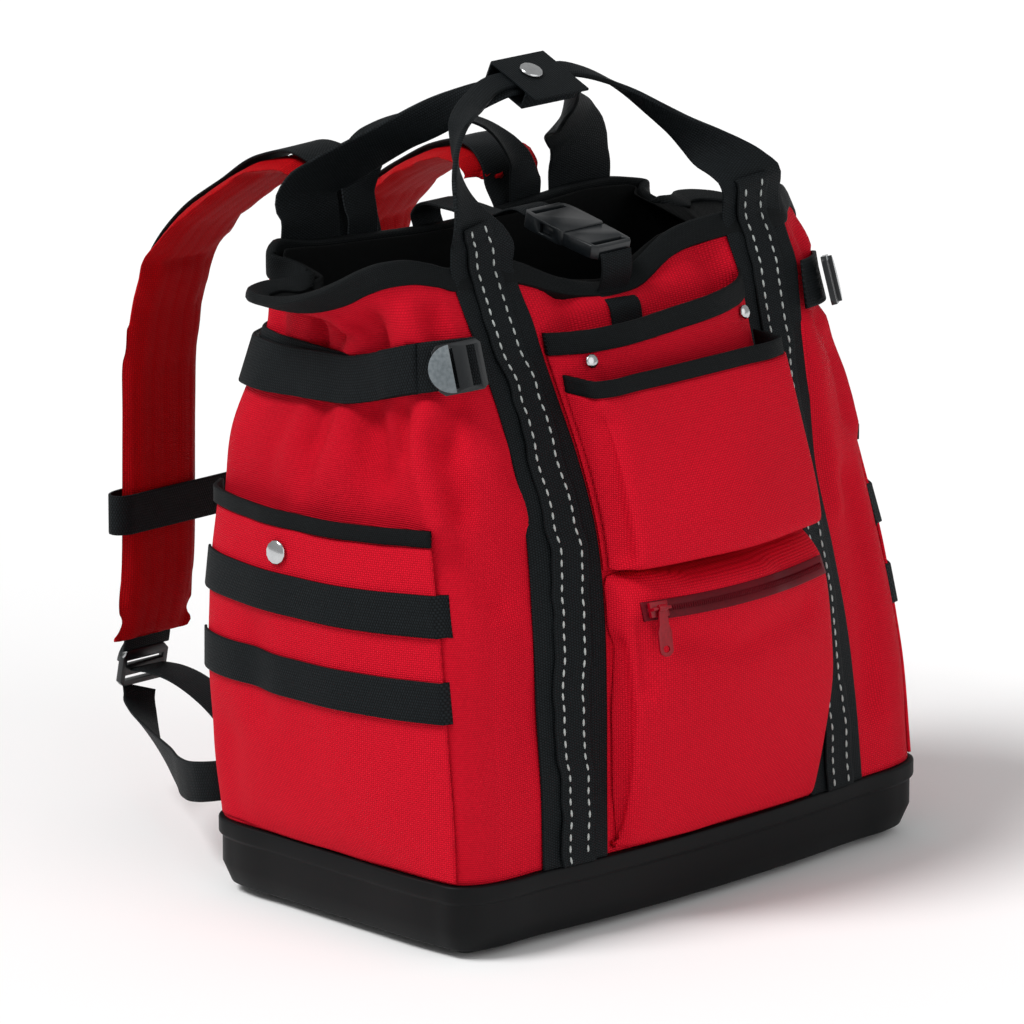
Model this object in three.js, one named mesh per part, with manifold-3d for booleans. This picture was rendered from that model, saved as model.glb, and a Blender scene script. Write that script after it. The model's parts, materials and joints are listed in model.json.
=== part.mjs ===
// A tool backpack: a red fabric bag on a black moulded base, with webbing, pockets and shoulder straps.
// Millimetres, +Z up. The origin is the centre of the base's underside, and the front faces -Y.
import * as THREE from 'three';
import Module from 'manifold-3d';
import { mergeVertices } from 'three/addons/utils/BufferGeometryUtils.js';

const wasm = await Module();
wasm.setup();

// Driving dimensions of the bag
const WIDTH = 400;
const DEPTH = 216;
const BASE_HEIGHT = 46;
const BAG_HEIGHT = 356;
const GAP = 0.3;

// Walls
const SHELL_WALL = 2.2;
const LINING_WALL = 1.4;
const LINING_GAP = 3;
const LINING_SLACK = 3;
const RIM_GAP = 0.9;
const RIM_RISE = 3;
const POCKET_WALL = 1.8;
const TUB_FLOOR = 5;
const LIP_HEIGHT = 12;
const LIP_PROUD = 2.2;
const BINDING_HEIGHT = 13;
const BINDING_PROUD = 1.2;

// Webbing
const WEB = 1.8;
const STRAP_X = 113;
const STRAP_WIDTH = 50;
const STRIP_WIDTH = 25;
const STRIP_ABOVE_RIM = 2;
const STRIP_CLEAR = 1.35;
const CINCH_WIDTH = 28;
const CLOSURE_WIDTH = 25;
const TOOL_BAND = 24;
const WEB_CLEAR = 0.45;

// Handles, measured above the base
const HANDLE_TOP = 478;
const WRAP_LENGTH = 44;
const SNAP_DIAMETER = 15;

// Pockets
const SIDE_POCKET_DEPTH = 13;
const PANEL_DEPTH = 24;
const PANEL_HALF = 86;
const UPPER_DEPTH = 32;
const UPPER_HALF = 84;
const LOWER_DEPTH = 24;
const LOWER_HALF = 87;

// Shoulder straps
const PAD_WIDTH = 70;
const PAD_THICK = 12;
const PAD_SPREAD = 86;
const PAD_REACH = 185;
const PAD_WEB_WIDTH = 38;
const LOWER_WEB_WIDTH = 25;

const half = WIDTH / 2;
const deep = DEPTH / 2;
const seamZ = BASE_HEIGHT + GAP;
const strapOuter = STRAP_X + STRAP_WIDTH / 2;
const strapInner = STRAP_X - STRAP_WIDTH / 2;
const riseOf = (millimetres) => millimetres / BAG_HEIGHT;

// Rounds and steps of the forms
const REAR_RADIUS = 22;
const BACK_CROWN = 5;
const TUB_GROW = 1;
const TUB_ROUND = 18;
const TUB_BOWL = 12;
const HANDLE_STEPS = 26;
const HANDLE_SETTLE = 7;
const WRAP_TAB = 9;
const SNAP_SHIFT = -4;
const SNAP_HEIGHT = 3;
const SNAP_COLUMN = 13;
const SNAP_RISE = 0.505;
const SNAP_TILT = 0.12;
const SNAP_CLEAR = 0.8;
const POCKET_TAPE = 10;
const TAPE = 0.9;
const FRONT_LEAN = 0.25;
const RIVET_DIAMETER = 9;
const RIVET_HEIGHT = 2.6;
const RIVET_X = 67;
const RIVET_RISE = 0.795;
const RIVET_CLEAR = 1.5;

// Zip, its slider and pull
const ZIP_THICK = 1.6;
const ZIP_X = -64;
const SLIDER_LONG = 12;
const SLIDER_TALL = 9;
const SLIDER_THICK = 3;
const SLIDER_CLEAR = 0.6;
const BAR_RADIUS = 0.9;
const BAR_STAND = 3.2;
const PULL_LEAN = 0.22;
const KNUCKLE_RADIUS = 2.2;
const KNUCKLE_LONG = 5;
const PULL_WIDE = 9;
const PULL_LONG = 27;
const PULL_THICK = 1.6;

// Cinch straps and their locks, placed by the columns of the bag's outline
const CINCH_START = 0.2;
const TAIL_FIRST = 8;
const TAIL_DROP = 6;
const TAIL_STAND = 4;
const TAIL_FREE = 8;
const LOCK_COLUMN = 5;
const LOCK_LONG = 34;
const LOCK_RIM = 3.5;
const LOCK_THICK = 4;
const LOCK_CLEAR = 0.7;
const LOCK_TAB = 3;
const LOCK_THUMB = -0.15;
const LOCK_WINDOWS = [[-0.22, -0.08], [0.2, 0.37]];

// Closure buckle
const CLOSURE_X = -12;
const BUCKLE_BACK = 0.06;
const BUCKLE_BACK_DROP = 2.5;
const BUCKLE_FRONT = -0.53;
const BUCKLE_FRONT_DROP = 15.5;
const BUCKLE_LONG = 62;
const BUCKLE_WIDE = 35;
const BUCKLE_THICK = 9.5;
const FEMALE_LONG = 35;
const CAVITY_HALF = 13.5;
const CAVITY_THICK = 5.2;

// Haul loop, pads and chest strap
const HAUL_X = 68;
const HAUL_WIDTH = 25;
const HAUL_RISE = 39;
const PAD_STEPS = 15;
const PAD_DROP = 4;
const SHOULDER_LOCK_LONG = 24;
const STERNUM_RISE = 0.395;
const STERNUM_WIDTH = 25;

const paint = (color, roughness, metalness = 0) =>
  new THREE.MeshStandardMaterial({ color, roughness, metalness });
const FABRIC = paint('#c8102e', 0.85);
const LINING = paint('#1b1d1e', 0.8);
const WEBBING = paint('#202426', 0.75);
const MOULDED = paint('#17191b', 0.6);
const PLASTIC = paint('#2a2e31', 0.4);
const STEEL = paint('#c9cdd0', 0.25, 1);
const RED_METAL = paint('#a3121f', 0.4, 0.5);

// The bag's level sections. rise is a share of BAG_HEIGHT above the base seam. front, start and back are
// shares of half the depth, side and rear of half the width, bow and bulge of the depth. pinch draws the
// front straps together, and turn rounds the front corner: under 1 is tight, over 1 is slack.
const SECTIONS = [
  { rise: 0.00, front: -1.095, bow: 0.032, pinch: 0.985, side: 0.975, start: -0.81, turn: 0.60, bulge: 0.004, rear: 0.975, back: 0.965 },
  { rise: 0.18, front: -1.045, bow: 0.055, pinch: 0.965, side: 0.965, start: -0.78, turn: 0.65, bulge: 0.020, rear: 0.985, back: 0.975 },
  { rise: 0.30, front: -0.985, bow: 0.092, pinch: 0.950, side: 0.955, start: -0.70, turn: 0.70, bulge: 0.030, rear: 0.985, back: 0.980 },
  { rise: 0.42, front: -0.920, bow: 0.105, pinch: 0.915, side: 0.935, start: -0.62, turn: 0.75, bulge: 0.036, rear: 0.980, back: 0.985 },
  { rise: 0.545, front: -0.835, bow: 0.100, pinch: 0.885, side: 0.910, start: -0.50, turn: 0.80, bulge: 0.040, rear: 0.960, back: 0.980 },
  { rise: 0.685, front: -0.742, bow: 0.046, pinch: 0.910, side: 0.890, start: -0.39, turn: 0.90, bulge: 0.030, rear: 0.930, back: 0.960 },
  { rise: 0.79, front: -0.640, bow: 0.004, pinch: 0.945, side: 0.855, start: -0.29, turn: 1.15, bulge: 0.000, rear: 0.845, back: 0.925 },
  { rise: 0.875, front: -0.555, bow: 0.000, pinch: 0.985, side: 0.870, start: -0.26, turn: 1.25, bulge: 0.010, rear: 0.830, back: 0.900 },
  { rise: 1.00, front: -0.400, bow: 0.000, pinch: 1.000, side: 0.900, start: -0.25, turn: 1.30, bulge: 0.010, rear: 0.810, back: 0.880 },
];

// The mouth between a front strap and the back panel, with the gusset's fold. x is a share of half the
// width, y of half the depth and rise of BAG_HEIGHT.
const MOUTH_LEFT = [
  { x: 0.690, y: -0.40, rise: 1.010 }, { x: 0.820, y: -0.34, rise: 1.032 }, { x: 0.915, y: -0.25, rise: 1.026 },
  { x: 0.985, y: 0.02, rise: 0.978 }, { x: 1.005, y: 0.33, rise: 0.950 }, { x: 0.965, y: 0.62, rise: 0.944 },
  { x: 0.870, y: 0.68, rise: 0.946 }, { x: 0.755, y: 0.57, rise: 0.955 }, { x: 0.725, y: 0.68, rise: 0.965 },
  { x: 0.790, y: 0.82, rise: 0.985 }, { x: 0.740, y: 0.88, rise: 0.992 },
];
const MOUTH_RIGHT = [
  { x: 0.690, y: -0.40, rise: 0.998 }, { x: 0.780, y: -0.26, rise: 1.012 }, { x: 0.860, y: -0.17, rise: 0.985 },
  { x: 0.925, y: -0.05, rise: 0.935 }, { x: 0.970, y: 0.28, rise: 0.936 }, { x: 0.945, y: 0.58, rise: 0.941 },
  { x: 0.860, y: 0.66, rise: 0.945 }, { x: 0.745, y: 0.56, rise: 0.950 }, { x: 0.725, y: 0.68, rise: 0.958 },
  { x: 0.790, y: 0.82, rise: 0.968 }, { x: 0.740, y: 0.88, rise: 0.972 },
];
// Height of the mouth's front and back edges, from the middle out to the straps
const MOUTH_FRONT = [{ left: 0.930, right: 0.930 }, { left: 0.950, right: 0.988 }, { left: 1, right: 1 }];
const MOUTH_BACK = [0.960, 0.964, 0.972, 0.980];

const CINCH_RISE = 0.79;
const FOLD_DEPTH = 4.5;
const FOLD_COUNT = 3;
const FOLDS = [
  { rise: 0.545, share: 0.15 }, { rise: 0.62, share: 0.6 }, { rise: 0.70, share: 1 }, { rise: 0.745, share: 0.7 },
  { rise: 0.752, share: 0 }, { rise: 0.83, share: 0 }, { rise: 0.845, share: 0.6 }, { rise: 0.875, share: 0.8 },
  { rise: 0.92, share: 0.3 }, { rise: 1, share: 0 },
];

// Heights of the tool bands and pocket tops, as shares of BAG_HEIGHT
const LOW_BAND = 0.267;
const HIGH_BAND = 0.405;
const SIDE_POCKET_RISE = 0.545;
const CORNER_STEPS = 4;
const SIDE_STEPS = 10;
const REAR_STEPS = 3;
const BACK_STEPS = 4;
const rearLast = 3 + CORNER_STEPS + SIDE_STEPS + REAR_STEPS;
const BLEND_FROM = 0.875;

const cinchLow = CINCH_RISE - riseOf(CINCH_WIDTH / 2);
const cinchHigh = CINCH_RISE + riseOf(CINCH_WIDTH / 2);
const bandRows = [LOW_BAND, LOW_BAND + riseOf(TOOL_BAND), HIGH_BAND, HIGH_BAND + riseOf(TOOL_BAND)];
const rimRows = [BLEND_FROM, 0.94, 1];
const ROWS = [0, 0.14, LOW_BAND, HIGH_BAND, SIDE_POCKET_RISE, 0.66, cinchLow, cinchHigh, ...rimRows];

// Small vector helpers
const v3 = (x, y, z) => new THREE.Vector3(x, y, z);
const along = (a, b, t) => a.clone().lerp(b, t);
const smooth = (t) => t * t * (3 - 2 * t);
const wrap = (i, n) => ((i % n) + n) % n;

// A value read from a table by its rise, eased between the rows
function readTable(table, key, rise) {
  const last = table.length - 1;
  let k = 0;
  while (k < last - 1 && table[k + 1].rise < rise) k++;
  const [a, b] = [table[k], table[k + 1]];
  const t = THREE.MathUtils.clamp((rise - a.rise) / (b.rise - a.rise), 0, 1);
  const before = table[Math.max(k - 1, 0)];
  const after = table[Math.min(k + 2, last)];
  const span = b.rise - a.rise;
  const slopeA = k === 0 ? (b[key] - a[key]) : (b[key] - before[key]) / (b.rise - before.rise) * span;
  const slopeB = k === last - 1 ? (b[key] - a[key]) : (after[key] - a[key]) / (after.rise - a.rise) * span;
  const t2 = t * t;
  const t3 = t2 * t;
  return (2 * t3 - 3 * t2 + 1) * a[key] + (t3 - 2 * t2 + t) * slopeA
    + (3 * t2 - 2 * t3) * b[key] + (t3 - t2) * slopeB;
}

function readShare(table, rise) {
  let k = 0;
  while (k < table.length - 2 && table[k + 1].rise < rise) k++;
  const [a, b] = [table[k], table[k + 1]];
  const t = THREE.MathUtils.clamp((rise - a.rise) / (b.rise - a.rise), 0, 1);
  return a.share + (b.share - a.share) * t;
}

// Closed bodies from rings of points
function bodyFrom(points, triangles) {
  let volume = 0;
  for (const [a, b, c] of triangles) volume += points[a].dot(points[b].clone().cross(points[c]));
  const geometry = new THREE.BufferGeometry();
  geometry.setAttribute('position', new THREE.Float32BufferAttribute(points.flatMap((p) => [p.x, p.y, p.z]), 3));
  geometry.setIndex(triangles.flatMap(([a, b, c]) => (volume > 0 ? [a, b, c] : [a, c, b])));
  return geometry;
}

// Rings of equal length joined in order. Open lofts are capped at both ends, looped ones join round. lean
// says which way both faces of a flat strip are split, so that a strip and its seat bend alike. From the
// ring numbered turned, which starts a wall's inner face, the split goes the other way to match the outer.
function loft(rings, looped = false, lean = 0, turned = Infinity) {
  const n = rings[0].length;
  const points = rings.flat();
  const triangles = [];
  const spans = looped ? rings.length : rings.length - 1;
  for (let r = 0; r < spans; r++) {
    const s = (r + 1) % rings.length;
    for (let i = 0; i < n; i++) {
      const j = (i + 1) % n;
      const [a, b, c, d] = [r * n + i, r * n + j, s * n + j, s * n + i];
      const crossed = (lean > 0 && i === 2) || (lean < 0 && i === 0) || r >= turned;
      triangles.push(...(crossed ? [[a, b, d], [b, c, d]] : [[a, b, c], [a, c, d]]));
    }
  }
  if (!looped) {
    capRing(points, triangles, 0, n, true);
    capRing(points, triangles, (rings.length - 1) * n, n, false);
  }
  return bodyFrom(points, triangles);
}

function capRing(points, triangles, start, n, reversed) {
  if (n === 4) {
    const quad = reversed ? [[0, 2, 1], [0, 3, 2]] : [[0, 1, 2], [0, 2, 3]];
    for (const t of quad) triangles.push(t.map((i) => start + i));
    return;
  }
  const middle = v3(0, 0, 0);
  for (let i = 0; i < n; i++) middle.addScaledVector(points[start + i], 1 / n);
  const centre = points.push(middle) - 1;
  for (let i = 0; i < n; i++) {
    const [a, b] = [start + i, start + (i + 1) % n];
    triangles.push(reversed ? [centre, b, a] : [centre, a, b]);
  }
}

// A sheet with its outer face on a grid of points and its inner face one wall inside
const sheet = (grid, wall) => sheetBetween(grid, sheetInner(grid, wall));

function sheetInner(grid, wall) {
  const rows = grid.length;
  const columns = grid[0].length;
  return grid.map((row, r) => row.map((p, c) => {
    const acrossRows = grid[Math.min(r + 1, rows - 1)][c].clone().sub(grid[Math.max(r - 1, 0)][c]);
    const acrossColumns = row[Math.min(c + 1, columns - 1)].clone().sub(row[Math.max(c - 1, 0)]);
    return p.clone().addScaledVector(acrossColumns.cross(acrossRows).normalize(), -wall);
  }));
}

function sheetBetween(outer, inner) {
  const rows = outer.length;
  const columns = outer[0].length;
  const points = [...outer.flat(), ...inner.flat()];
  const offset = rows * columns;
  const triangles = [];
  const quad = (a, b, c, d) => triangles.push([a, b, c], [a, c, d]);
  for (let r = 0; r < rows - 1; r++) {
    for (let c = 0; c < columns - 1; c++) {
      const a = r * columns + c;
      quad(a, a + 1, a + columns + 1, a + columns);
      quad(offset + a, offset + a + columns, offset + a + columns + 1, offset + a + 1);
    }
  }
  for (let c = 0; c < columns - 1; c++) {
    const top = (rows - 1) * columns + c;
    quad(c, offset + c, offset + c + 1, c + 1);
    quad(top, top + 1, offset + top + 1, offset + top);
  }
  for (let r = 0; r < rows - 1; r++) {
    const a = r * columns;
    const b = a + columns - 1;
    quad(a, a + columns, offset + a + columns, offset + a);
    quad(b, offset + b, offset + b + columns, b + columns);
  }
  return bodyFrom(points, triangles);
}

const strip = (rings, lean = 1) => loft(rings, false, lean);

// Flat webbing through frames { p, w, n, width }: w points across it and n through it
function webbing(frames, thick = WEB) {
  return strip(webRings(frames, thick));
}

function webRings(frames, thick = WEB) {
  return frames.map(({ p, w, n, width }) => {
    const corner = (a, b) => p.clone().addScaledVector(w, a * width / 2).addScaledVector(n, b * thick / 2);
    return [corner(-1, 1), corner(1, 1), corner(1, -1), corner(-1, -1)];
  });
}

// Webbing laid on the outer face of other webbing, given by that one's rings
function layOn(rings, width, lift = GAP, thick = WEB) {
  return rings.map((ring) => {
    const [a, b, , d] = ring;
    const middle = along(a, b, 0.5);
    const across = b.clone().sub(a).normalize().multiplyScalar(width / 2);
    const out = a.clone().sub(d).normalize();
    const corner = (side, height) => middle.clone().addScaledVector(across, side).addScaledVector(out, height);
    return [corner(-1, lift + thick), corner(1, lift + thick), corner(1, lift), corner(-1, lift)];
  });
}

// Boolean work on closed bodies
function toSolid(geometry) {
  const bare = geometry.clone();
  bare.deleteAttribute('normal');
  bare.deleteAttribute('uv');
  const merged = mergeVertices(bare, 1e-4);
  const vertProperties = new Float32Array(merged.attributes.position.array);
  const triVerts = new Uint32Array(merged.index.array);
  return new wasm.Manifold(new wasm.Mesh({ numProp: 3, vertProperties, triVerts }));
}

function toGeometry(solid) {
  const mesh = solid.getMesh();
  const geometry = new THREE.BufferGeometry();
  geometry.setAttribute('position', new THREE.BufferAttribute(mesh.vertProperties, 3));
  geometry.setIndex(new THREE.BufferAttribute(mesh.triVerts, 1));
  return geometry;
}

const boxAt = (x, y, z, cx = 0, cy = 0, cz = 0) => toSolid(new THREE.BoxGeometry(x, y, z).translate(cx, cy, cz));

// Half an outline, from the front's middle round the right side to the back's middle
function halfOutline(rise, grow = 0) {
  const read = (key) => readTable(SECTIONS, key, rise);
  const pinch = read('pinch');
  const front = read('front') * deep - grow;
  const bow = read('bow') * DEPTH;
  const side = read('side') * half + grow;
  const start = read('start') * deep;
  const rear = read('rear') * half + grow;
  const back = read('back') * deep + grow;
  const turn = read('turn');
  const edge = strapOuter * pinch;
  const frontAt = (x) => front - bow * (1 - (x / edge) ** 2);
  const points = [0, strapInner / 2, strapInner, strapOuter].map((x) => [x * pinch, frontAt(x * pinch)]);
  for (let k = 1; k <= CORNER_STEPS; k++) {
    const a = k / CORNER_STEPS * Math.PI / 2;
    const x = edge + (side - edge) * Math.sin(a) ** turn;
    points.push([x, front + (start - front) * (1 - Math.cos(a) ** turn)]);
  }
  const stop = back - (half - rear + REAR_RADIUS) * 0.9;
  const fold = FOLD_DEPTH * readShare(FOLDS, rise);
  for (let k = 1; k <= SIDE_STEPS; k++) {
    const t = k / SIDE_STEPS;
    const ends = Math.sin(Math.PI * t);
    const ripple = fold * Math.cos(2 * Math.PI * FOLD_COUNT * t) * ends;
    points.push([side + (rear - side) * t + read('bulge') * DEPTH * ends + ripple, start + (stop - start) * t]);
  }
  for (let k = 1; k <= REAR_STEPS; k++) {
    const a = k / REAR_STEPS * Math.PI / 2;
    points.push([rear - REAR_RADIUS * (1 - Math.cos(a)), stop + (back - stop) * Math.sin(a)]);
  }
  for (let k = 1; k <= BACK_STEPS; k++) {
    const x = (rear - REAR_RADIUS) * (1 - k / BACK_STEPS);
    points.push([x, back + BACK_CROWN * (1 - (x / (rear - REAR_RADIUS)) ** 2)]);
  }
  return points;
}

const mirrored = (points) => points.map((p) => v3(-p.x, p.y, p.z));

// The right or left half of the mouth's edge, from the front's middle to the back's middle
function halfMouth(table, flank) {
  const heightOf = (rise) => BASE_HEIGHT + rise * BAG_HEIGHT - BINDING_HEIGHT;
  const front = readTable(SECTIONS, 'front', 1) * deep;
  const points = [0, strapInner / 2, strapInner].map((x, i) => v3(x, front, heightOf(MOUTH_FRONT[i][flank])));
  const side = table.map((row) => v3(row.x * half, row.y * deep, heightOf(row.rise)));
  side[0].set(strapOuter, front, side[0].z);
  const curve = new THREE.CatmullRomCurve3(side, false, 'centripetal');
  points.push(...curve.getSpacedPoints(CORNER_STEPS + SIDE_STEPS + REAR_STEPS));
  const last = points.at(-1);
  for (let k = 1; k <= BACK_STEPS; k++) {
    const t = 1 - k / BACK_STEPS;
    points.push(v3(last.x * t, last.y + BACK_CROWN * (1 - t * t), heightOf(MOUTH_BACK[BACK_STEPS - k])));
  }
  return points;
}

const levelRing = (rise, grow = 0) => {
  const z = seamZ + rise * BAG_HEIGHT;
  const right = halfOutline(rise, grow).map(([x, y]) => v3(x, y, z));
  return [...right, ...mirrored(right).slice(1, -1).reverse()];
};
const mouthLeft = mirrored(halfMouth(MOUTH_LEFT, 'left'));
const mouthRing = [...halfMouth(MOUTH_RIGHT, 'right'), ...mouthLeft.slice(1, -1).reverse()];
const blendRing = levelRing(BLEND_FROM);
const COLUMNS = mouthRing.length;

// The bag's outer face: one ring of points for each row
const skin = ROWS.map((rise) => {
  if (rise <= BLEND_FROM) return levelRing(rise);
  const t = (rise - BLEND_FROM) / (1 - BLEND_FROM);
  return blendRing.map((p, c) => {
    const q = mouthRing[c];
    const eased = smooth(t);
    return v3(p.x + (q.x - p.x) * eased, p.y + (q.y - p.y) * eased, p.z + (q.z - p.z) * t);
  });
});

// Level outward direction at each point of a ring, with the mitre that keeps a wall's thickness
function outwards(ring) {
  const n = ring.length;
  const direction = (a, b) => v3(b.x - a.x, b.y - a.y, 0).normalize();
  return ring.map((p, i) => {
    const before = direction(ring[wrap(i - 1, n)], p);
    const after = direction(p, ring[wrap(i + 1, n)]);
    const t = before.clone().add(after).normalize();
    const mitre = Math.min(1 / Math.max(t.dot(after), 0.5), 1.25);
    return v3(t.y, -t.x, 0).multiplyScalar(mitre);
  });
}

const grown = (ring, distance) => {
  const out = outwards(ring);
  return ring.map((p, i) => p.clone().addScaledVector(out[i], distance));
};
const skinOut = skin.map(outwards);

// A point on the bag's facets at a column and a rise, lifted off along the level outward direction
function skinAt(column, rise, lift = 0) {
  const c = wrap(column, COLUMNS);
  let r = 0;
  while (r < ROWS.length - 2 && ROWS[r + 1] < rise) r++;
  const t = (rise - ROWS[r]) / (ROWS[r + 1] - ROWS[r]);
  const out = along(skinOut[r][c], skinOut[r + 1][c], t).setZ(0);
  return along(skin[r][c], skin[r + 1][c], t).addScaledVector(out, lift);
}

// A point on the front or back facets at a place across, lifted off forwards or backwards
function faceAt(x, rise, lift, toBack = false) {
  let r = 0;
  while (r < ROWS.length - 2 && ROWS[r + 1] < rise) r++;
  const t = (rise - ROWS[r]) / (ROWS[r + 1] - ROWS[r]);
  const middle = toBack ? COLUMNS / 2 : 0;
  const reach = toBack ? BACK_STEPS : 3;
  const onRow = (ring) => {
    for (let c = middle - reach; c < middle + reach; c++) {
      const [a, b] = [ring[wrap(c, COLUMNS)], ring[wrap(c + 1, COLUMNS)]];
      const s = (x - a.x) / (b.x - a.x);
      if (s >= -1e-6 && s <= 1 + 1e-6) return along(a, b, s);
    }
    const edge = ring[wrap(middle + (toBack ? -1 : 1) * Math.sign(x) * reach, COLUMNS)];
    return v3(x, edge.y, edge.z);
  };
  const p = along(onRow(skin[r]), onRow(skin[r + 1]), t);
  return p.setY(p.y + (toBack ? lift : -lift));
}

const group = new THREE.Group();
function place(name, geometry, material) {
  const mesh = new THREE.Mesh(geometry, material);
  mesh.name = name;
  group.add(mesh);
  return mesh;
}

// Body: shell, lining, base and the tape round the mouth
function makeBody() {
  const inner = skin.map((ring) => grown(ring, -SHELL_WALL));
  place('shell', loft([...skin, ...inner.reverse()], true, 0, skin.length), FABRIC);
  makeLining();
  makeTub();
  const through = SHELL_WALL + LINING_GAP + LINING_WALL + BINDING_PROUD;
  const lifted = (ring, dz) => ring.map((p) => v3(p.x, p.y, p.z + dz));
  const outer = grown(mouthRing, BINDING_PROUD);
  const inside = grown(mouthRing, -through);
  const top = GAP + BINDING_HEIGHT;
  const rings = [lifted(outer, RIM_GAP), lifted(outer, top), lifted(inside, top), lifted(inside, RIM_GAP)];
  place('rim_binding', loft(rings, true), WEBBING);
}

// Rings inside the tub's curved corner: steps of a quarter round from the floor up to the wall
const bowlRings = (ring, radius, inset, z) => [0, 1, 2].map((k) => {
  const a = k / 2 * Math.PI / 2;
  return grown(ring, -inset - radius * (1 - Math.sin(a))).map((p) => v3(p.x, p.y, z + radius * (1 - Math.cos(a))));
});

function makeLining() {
  const slack = (rise) => (rise < 1 ? LINING_SLACK : 0);
  const rises = [0, HIGH_BAND, cinchLow, cinchHigh, BLEND_FROM, 1];
  const wallAt = (inset) => rises.map((rise) => {
    return grown(skin[ROWS.indexOf(rise)], -inset - slack(rise));
  });
  const outset = SHELL_WALL + LINING_GAP;
  const round = TUB_BOWL - LINING_SLACK;
  const bowlAt = (inset, z) => bowlRings(skin[0], round, inset + LINING_SLACK, z).slice(0, 2);
  const outer = [...bowlAt(outset, TUB_FLOOR + GAP), ...wallAt(outset)];
  const inner = [...bowlAt(outset + LINING_WALL, TUB_FLOOR + GAP + LINING_WALL), ...wallAt(outset + LINING_WALL)];
  const clear = skin.map((ring) => grown(ring, -SHELL_WALL - 2 * GAP));
  const shellRoom = toSolid(loft([...skin, ...clear.reverse()], true, 0, skin.length));
  const whole = toSolid(loft([...outer, ...inner.reverse()], false, 0, outer.length));
  const pieces = whole.subtract(shellRoom).decompose();
  const largest = pieces.reduce((a, b) => (b.volume() > a.volume() ? b : a));
  place('lining', toGeometry(largest), LINING);
}

function makeTub() {
  const kept = (ring) => ring.filter((p, c) => {
    const k = c <= COLUMNS / 2 ? c : COLUMNS - c;
    return k < 3 + CORNER_STEPS + 1 || k > 2 + CORNER_STEPS + SIDE_STEPS || (k - 3 - CORNER_STEPS) % 4 === 0;
  });
  const plan = levelRing(0);
  const at = (grow, z) => kept(grown(plan, grow)).map((p) => v3(p.x, p.y, z));
  const lipZ = BASE_HEIGHT - LIP_HEIGHT;
  const body = TUB_GROW;
  const outer = [0, 1, 2].map((k) => {
    const a = k / 2 * Math.PI / 2;
    return at(body - TUB_ROUND * (1 - Math.sin(a)), TUB_ROUND * (1 - Math.cos(a)));
  });
  outer.push(at(body, lipZ), at(body + LIP_PROUD, lipZ + LIP_PROUD), at(body + LIP_PROUD, BASE_HEIGHT - 1));
  outer.push(at(body + LIP_PROUD - 1, BASE_HEIGHT));
  const inset = SHELL_WALL + GAP;
  const bowl = bowlRings(plan, TUB_BOWL, inset, TUB_FLOOR).map(kept);
  const inner = [at(-inset, BASE_HEIGHT), ...bowl.reverse()];
  place('base_tub', loft([...outer, ...inner]), MOULDED);
}

// Strap rings on the front or the back face, from the seam up to the mouth's tape
function faceRings(side, toBack) {
  const rings = ROWS.map((rise) => {
    const lift = rise === 1 ? BINDING_PROUD + WEB_CLEAR : WEB_CLEAR;
    return faceRing(side, rise, lift, toBack, 0);
  });
  rings.push(faceRing(side, 1, BINDING_PROUD + WEB_CLEAR, toBack, BINDING_HEIGHT + RIM_RISE));
  return rings;
}

function faceRing(side, rise, lift, toBack, raise) {
  const pinch = toBack ? 1 : readTable(SECTIONS, 'pinch', Math.min(rise, 1));
  const outerX = side * strapOuter * pinch;
  const innerX = side * strapInner * pinch;
  const level = (x, d) => {
    const p = faceAt(x, rise, d, toBack);
    return p.setZ(p.z + raise);
  };
  const [first, second] = toBack ? [innerX, outerX] : [outerX, innerX];
  return [level(first, lift + WEB), level(second, lift + WEB), level(second, lift), level(first, lift)];
}

// Frames along a smooth route. yaw turns the webbing's width in plan and lean tips it up, in degrees. Over
// the first and last settle frames the width turns bit by bit to stand square to the route.
function framesOn(route, steps, width, settle = 0) {
  const curve = new THREE.CatmullRomCurve3(route.map((s) => s.p), false, 'centripetal');
  const frames = [];
  for (let k = 0; k <= steps; k++) {
    const u = k / steps;
    const f = u * (route.length - 1);
    const i = Math.min(Math.floor(f), route.length - 2);
    const mix = (key, other = 0) => {
      const [a, b] = [route[i][key] ?? other, route[i + 1][key] ?? other];
      return a + (b - a) * (f - i);
    };
    const tangent = curve.getTangent(u);
    const yaw = THREE.MathUtils.degToRad(mix('yaw'));
    const lean = THREE.MathUtils.degToRad(mix('lean'));
    const w = v3(Math.cos(yaw) * Math.cos(lean), Math.sin(yaw) * Math.cos(lean), Math.sin(lean));
    const square = settle ? Math.min(1, Math.min(k, steps - k) / settle) : 1;
    w.addScaledVector(tangent, -w.dot(tangent) * square).normalize();
    const n = w.clone().cross(tangent).normalize();
    frames.push({ p: curve.getPoint(u), w, n, width: width * mix('width', 1) });
  }
  return frames;
}

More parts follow.
